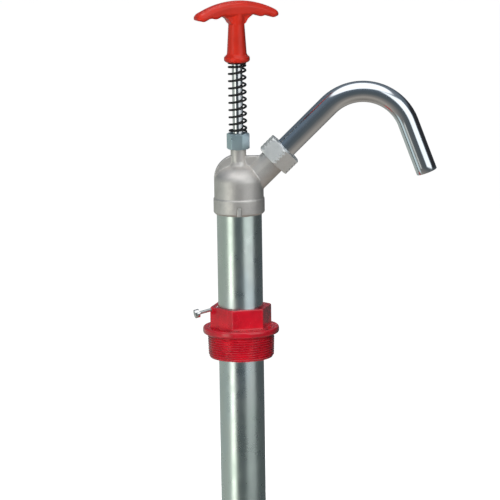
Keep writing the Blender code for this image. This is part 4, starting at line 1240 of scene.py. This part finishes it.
class PUMP_OT_adapter(bpy.types.Operator):
    """Cast and thread the bung adapter, and fit its set screw"""

    bl_idname = "pump.adapter"
    bl_label = "Bung adapter"

    def pipe_thread(self, settings, radius, bottom, top):
        """A tapered thread as one closed skin."""
        sides = 120
        rows = round((top - bottom) / settings.pitch * 12)
        rings = []
        for row in range(rows + 1):
            z = bottom + (top - bottom) * row / rows
            ring = []
            for i in range(sides):
                turn = i / sides
                phase = (z / settings.pitch - turn) % 1.0
                ridge = abs(phase * 2 - 1)
                ridge = min(1.0, max(0.0, (ridge - 0.12) / 0.76))
                fade = min(1.0, (z - bottom) / settings.pitch, (top - z) / settings.pitch * 1.5)
                crest = radius - settings.taper * (top - z)
                r = crest - settings.thread * (1 - ridge * max(fade, 0.0))
                angle = 2 * math.pi * turn
                ring.append((r * math.cos(angle), r * math.sin(angle), z))
            rings.append(ring)
        return loft("pipe_thread", rings)

    def execute(self, context):
        settings = context.scene.pump_adapter
        top = high("bung_adapter").z
        bottom = low("bung_adapter").z
        flange = radius_of("bung_adapter")
        edge = 0.0021
        turn = math.degrees(settings.turn)
        adapter = hex_prism("adapter_casting", settings.flats, 0.0015, top, 0.0012, turn, edge=0.0005)
        base = [
            (0, settings.flange),
            (flange, settings.flange, edge),
            (flange, 0, edge),
            (THREAD_RADIUS - 0.0010, 0),
            (THREAD_RADIUS - 0.0016, -0.0035),
            (0, -0.0035),
        ]
        merge(adapter, [lathe("flange", rounded(base, edge, 6), 144)])
        cast(adapter, 0.0005, 4)
        combine(adapter, self.pipe_thread(settings, THREAD_RADIUS, bottom, THREAD_TOP), "UNION")
        seal_box = (low("adapter_seal_ring").z - 0.0004, high("adapter_seal_ring").z + 0.0004)
        bore = radius_of("barrel_tube") + GAP
        groove = radius_of("adapter_seal_ring") + 0.0004
        core = 0.0240
        inside = [
            (0, top + OVERRUN),
            (bore + 0.0012, top + OVERRUN),
            (bore, top - 0.0006),
            (bore, seal_box[1]),
            (groove, seal_box[1]),
            (groove, seal_box[0]),
            (bore, seal_box[0]),
            (bore, bottom + 0.0205),
            (core, bottom + 0.0170),
            (core, bottom - OVERRUN),
            (0, bottom - OVERRUN),
        ]
        combine(adapter, lathe("adapter_bore", inside, 144))
        screw_place = upright(SCREW_POINT, SCREW_AXIS)
        inner, outer = span_along("set_screw", SCREW_POINT, SCREW_AXIS)
        mouth, floor = 0.004, -0.0125
        drill = [(0, mouth), (CLAMP_HOLE, mouth), (CLAMP_HOLE, floor), (0, floor)]
        combine(adapter, lathe("tapped_hole", drill, 40, screw_place))
        look = enamel("Red enamel", tuple(context.scene.pump_finishes.adapter))
        finish_piece(adapter, "adapter", ["bung_adapter"], look, 40)
        self.set_screw(inner, outer, screw_place)
        return {"FINISHED"}

    def set_screw(self, inner, outer, place):
        """Turn the screw with its recess, head and thread."""
        head = outer - 0.0046
        wide = 0.0039
        recess = 0.0016
        shank = 0.0016
        pitch = 0.0007
        floor = outer - 0.0024
        profile = [(0, floor), (recess, floor), (recess, outer), (wide, outer, 0.0006)]
        profile += [(wide, head, 0.0003), (shank, head, 0.0002)]
        count = int((head - 0.0012 - inner) / pitch)
        for i in range(count):
            z = head - 0.0010 - i * pitch
            profile += [(shank, z, 0), (shank - 0.00014, z - pitch * 0.5, 0)]
        profile += [(shank - 0.0003, inner, 0.0002), (0, inner)]
        screw = lathe("clamp_set_screw", rounded(profile, 0.0003, 3), 48, place)
        look = ground_steel("Bright screw", (0.78, 0.78, 0.78), 0.12)
        finish_piece(screw, "clamp_screw", ["set_screw"], look, 30)


class PUMP_OT_foot(bpy.types.Operator):
    """Make the foot valve's body, its rivets and the strainer"""

    bl_idname = "pump.foot"
    bl_label = "Foot valve and strainer"

    def execute(self, context):
        top = high("foot_valve_body").z
        bottom = low("foot_valve_body").z
        outer = radius_of("foot_valve_body")
        inner = outer - 0.0018
        rim = bottom + 0.0030
        body = [
            (inner, top, 0.0004),
            (inner, rim, 0.0002),
            (outer, rim, 0.0004),
            (outer, bottom, 0.0008),
            (0.0090, bottom, 0.0008),
            (0.0090, top - 0.0015, 0.0003),
            (0.0115, top, 0.0003),
        ]
        foot = lathe("foot_casting", rounded(body, 0.0004), 96)
        look = cast_alloy("Foot casting", tuple(context.scene.pump_finishes.casting), 0.5)
        finish_piece(foot, "pump", ["foot_valve_body"], look)

        level = (low("foot_rivet_1").z + high("foot_rivet_1").z) / 2
        look = ground_steel("Rivet steel", (0.66, 0.66, 0.66), 0.25)
        rivets = mesh_object("foot_rivets", [(0, 0, 0)], [])
        rivet_tree(look).run(
            rivets,
            {
                "Count": 3,
                "Wall Radius": radius_of("barrel_tube") - 0.0001,
                "Head Radius": 0.0030,
                "Head Height": 0.0011,
                "Level": level,
            },
        )
        finish_piece(rivets, "pump", ["foot_rivet_1", "foot_rivet_2", "foot_rivet_3"], look)

        top = high("suction_strainer").z
        bottom = low("suction_strainer").z
        outer = radius_of("suction_strainer")
        wall = 0.0016
        cup = [
            (outer, top, 0.0003),
            (outer, bottom, 0.0022),
            (0.0034, bottom, 0.0005),
            (0.0034, bottom + wall, 0.0005),
            (outer - wall, bottom + wall, 0.0012),
            (outer - wall, top, 0.0003),
        ]
        look = pale_polymer("Strainer polymer")
        strainer = lathe("strainer_cup", rounded(cup, 0.0005), 96)
        strainer_tree(look).run(
            strainer,
            {
                "Around": 18,
                "Rows": 3,
                "Wall Radius": outer - wall / 2,
                "First Row": bottom + 0.0065,
                "Spacing": 0.0050,
                "Hole Radius": 0.0016,
            },
        )
        finish_piece(strainer, "pump", ["suction_strainer"], look, 30)
        return {"FINISHED"}


class PUMP_OT_inner_finishes(bpy.types.Operator):
    """Give the pieces inside the pump their finishes"""

    bl_idname = "pump.inner_finishes"
    bl_label = "Inner finishes"

    def execute(self, context):
        looks = {
            "die_cast": cast_alloy("Inner casting", tuple(context.scene.pump_finishes.casting), 0.5),
            "zinc_plate": zinc_plate("Inner zinc", (0.60, 0.63, 0.64), 0.25),
            "chrome_plate": chrome_plate("Inner chrome", (0.8, 0.8, 0.8)),
            "bright_steel": ground_steel("Inner steel", (0.7, 0.7, 0.7)),
            "spring_steel": oiled_black("Inner black steel"),
            "brass": machined_brass("Machined brass"),
            "nitrile_rubber": soft_rubber("Nitrile rubber"),
            "white_polymer": pale_polymer("White polymer"),
            "red_plastic": moulded_plastic("Inner plastic", tuple(context.scene.pump_finishes.handle)),
            "red_paint": enamel("Inner enamel", tuple(context.scene.pump_finishes.adapter)),
        }
        for subpart in frame["record"]["subparts"]:
            node = frame["nodes"][subpart["node"]]
            if node.hide_render:
                continue
            for slot in node.material_slots:
                slot.material = looks[subpart["material_slot"]]
            if not node.material_slots:
                node.data.materials.append(looks[subpart["material_slot"]])
        return {"FINISHED"}


class PUMP_OT_stage(bpy.types.Operator):
    """Set up the floor, backdrop, lights and camera"""

    bl_idname = "pump.stage"
    bl_label = "Studio"

    def pale(self, name):
        """A white that gives its own light, so the ground stays even."""
        look = bpy.data.materials.new(name)
        look.use_nodes = True
        values = {
            "Base Color": (0.88, 0.88, 0.88, 1),
            "Roughness": 0.9,
            "Specular IOR Level": 0.0,
            "Emission Color": (1, 1, 1, 1),
            "Emission Strength": 1.0,
        }
        for key, value in values.items():
            look.node_tree.nodes["Principled BSDF"].inputs[key].default_value = value
        return look

    def soft_light(self, name, place, target, size, power):
        light = bpy.data.lights.new(name, "AREA")
        light.shape = "RECTANGLE"
        light.size, light.size_y = size
        light.energy = power
        obj = bpy.data.objects.new(name, light)
        obj.location = place
        obj.rotation_euler = (Vector(target) - Vector(place)).to_track_quat("-Z", "Y").to_euler()
        obj.visible_glossy = False
        obj.visible_camera = False
        bpy.context.scene.collection.objects.link(obj)

    def patch(self, tree, angle, centre, half, soft):
        """One inside a span of angles, zero outside it, and soft between."""
        off = tree.math("ABSOLUTE", tree.math("SUBTRACT", angle, float(centre)))
        return tree.scaled(off, 0.0, 1.0, half + soft / 2, half - soft / 2, interpolation_type="SMOOTHSTEP")

    def surroundings(self):
        """The studio as polished metal sees it: soft boxes with dark gaps between."""
        world = bpy.data.worlds.new("Studio")
        bpy.context.scene.world = world
        world.use_nodes = True
        tree = ShaderTree(world.node_tree)
        where = tree.add("ShaderNodeTexCoord").outputs["Generated"]
        parts = tree.add("ShaderNodeSeparateXYZ", {0: where}).outputs
        ahead = tree.math("MULTIPLY", parts["Y"], -1.0)
        around = tree.math("DEGREES", tree.math("ARCTAN2", parts["X"], ahead))
        rise = tree.math("DEGREES", tree.math("ARCSINE", parts["Z"]))
        heights = [
            (-90, (0.20, 0.18, 0.16)),
            (-55, (0.36, 0.33, 0.29)),
            (-38, (0.22, 0.205, 0.19)),
            (-15, (0.095, 0.11, 0.115)),
            (10, (0.078, 0.097, 0.112)),
            (35, (0.115, 0.145, 0.175)),
            (90, (0.30, 0.32, 0.34)),
        ]
        share = tree.scaled(rise, 0.0, 1.0, -90.0, 90.0)
        sky = tree.ramp(share, [((z + 90) / 180, colour) for z, colour in heights])
        patches = [
            # around, half width, rise, half height, softness, colour
            (-116, 56, -15, 24, 22, (0.40, 0.44, 0.41)),
            (115, 33, 13, 15, 10, (0.026, 0.027, 0.030)),
            (-78, 15, -29, 13, 10, (0.60, 0.72, 0.73)),
            (-48, 12, -4, 17, 12, (1.90, 1.96, 1.80)),
            (46, 25, 17, 21, 8, (1.20, 1.26, 1.28)),
            (-66, 26, 36, 9, 9, (0.125, 0.165, 0.205)),
        ]
        for centre, half, level, tall, soft, colour in patches:
            across = self.patch(tree, around, centre, half, soft)
            up = self.patch(tree, rise, level, tall, soft)
            sky = tree.mix(tree.math("MULTIPLY", across, up), sky, colour)
        tilt = math.radians(75)  # of the overhead box, towards the front
        values = {0: where, 1: (0, -math.cos(tilt), math.sin(tilt))}
        overhead = tree.add("ShaderNodeVectorMath", values, operation="DOT_PRODUCT").outputs["Value"]
        away = tree.math("DEGREES", tree.math("ARCCOSINE", overhead))
        sky = tree.mix(self.patch(tree, away, 0, 37, 7), sky, (1.25, 1.28, 1.30))
        background = world.node_tree.nodes["Background"]
        world.node_tree.links.new(sky, background.inputs["Color"])
        background.inputs["Strength"].default_value = 1.08
        world.cycles_visibility.diffuse = False

    def execute(self, context):
        settings = context.scene.pump_stage
        floor_z = CAD_BOX[0][2] - settings.floor
        rim = STUDIO_RADIUS + 2.0
        back = STUDIO_RADIUS + 0.2
        ceiling = 30.0
        floor = lathe("floor", [(0, floor_z), (rim, floor_z), (rim, floor_z - 0.1), (0, floor_z - 0.1)], 64)
        sheet = [(STUDIO_RADIUS, floor_z), (STUDIO_RADIUS, ceiling), (back, ceiling), (back, floor_z)]
        wall = lathe("backdrop", sheet, 64)
        look = self.pale("Pale studio")
        for obj in (floor, wall):
            obj.data.materials.append(look)
            obj.visible_glossy = False
            obj.visible_diffuse = False
        wall.visible_shadow = False
        middle = (0.0, 0.0, 0.16)
        self.soft_light("key", (-0.35, -2.8, 1.3), middle, (0.7, 1.0), 53)
        self.soft_light("fill", (2.2, -1.8, 0.9), middle, (0.8, 1.2), 6)
        self.soft_light("top", (0.1, 0.5, 2.6), middle, (1.2, 1.2), 30)
        self.soft_light("back", (0.3, 2.8, 0.9), (0, 0, -0.1), (2.0, 1.6), 48)
        self.soft_light("low", (-0.8, -2.4, -0.35), (0, 0, -0.7), (1.2, 0.6), 22)
        self.surroundings()

        camera_data = bpy.data.cameras.new("camera")
        camera_data.lens = settings.lens
        camera_data.sensor_width = 36.0
        camera_data.clip_end = 200.0
        camera = bpy.data.objects.new("camera", camera_data)
        ahead = Vector(
            (
                math.sin(settings.yaw) * math.cos(settings.pitch),
                math.cos(settings.yaw) * math.cos(settings.pitch),
                -math.sin(settings.pitch),
            )
        )
        right = Vector((math.cos(settings.yaw), -math.sin(settings.yaw), 0))
        above = right.cross(ahead)
        tilted = right * math.cos(settings.roll) + above * math.sin(settings.roll)
        above = above * math.cos(settings.roll) - right * math.sin(settings.roll)
        turn = Matrix((tilted, above, -ahead)).transposed().to_4x4()
        away = Vector((0, -math.cos(settings.height), math.sin(settings.height))) * settings.distance
        away.z += settings.lift
        camera.matrix_world = Matrix.Translation(away) @ turn
        bpy.context.scene.collection.objects.link(camera)
        bpy.context.scene.camera = camera
        bpy.context.scene.view_settings.view_transform = "Standard"
        return {"FINISHED"}


class PUMP_PT_pieces(bpy.types.Panel):
    """Lists the pump's pieces and their sizes"""

    bl_label = "Drum Pump"
    bl_idname = "PUMP_PT_pieces"
    bl_space_type = "VIEW_3D"
    bl_region_type = "UI"
    bl_category = "Drum Pump"

    def draw(self, context):
        layout = self.layout
        for step in STEPS:
            layout.operator(step.bl_idname)
        for name, group in SETTINGS.items():
            box = layout.box()
            box.label(text=group.__name__)
            for key in group.__annotations__:
                box.prop(getattr(context.scene, name), key)


STEPS = (
    PUMP_OT_handle,
    PUMP_OT_rod,
    PUMP_OT_spring,
    PUMP_OT_gland,
    PUMP_OT_head,
    PUMP_OT_barrel,
    PUMP_OT_spout,
    PUMP_OT_adapter,
    PUMP_OT_foot,
    PUMP_OT_inner_finishes,
    PUMP_OT_stage,
)


def register():
    for name, group in SETTINGS.items():
        bpy.utils.register_class(group)
        setattr(bpy.types.Scene, name, PointerProperty(type=group))
    for step in STEPS:
        bpy.utils.register_class(step)
    bpy.utils.register_class(PUMP_PT_pieces)


def unregister():
    bpy.utils.unregister_class(PUMP_PT_pieces)
    for step in reversed(STEPS):
        bpy.utils.unregister_class(step)
    for name, group in SETTINGS.items():
        delattr(bpy.types.Scene, name)
        bpy.utils.unregister_class(group)


def main():
    register()
    for step in STEPS:
        area, name = step.bl_idname.split(".")
        getattr(getattr(bpy.ops, area), name)()


if __name__ == "__main__":
    main()
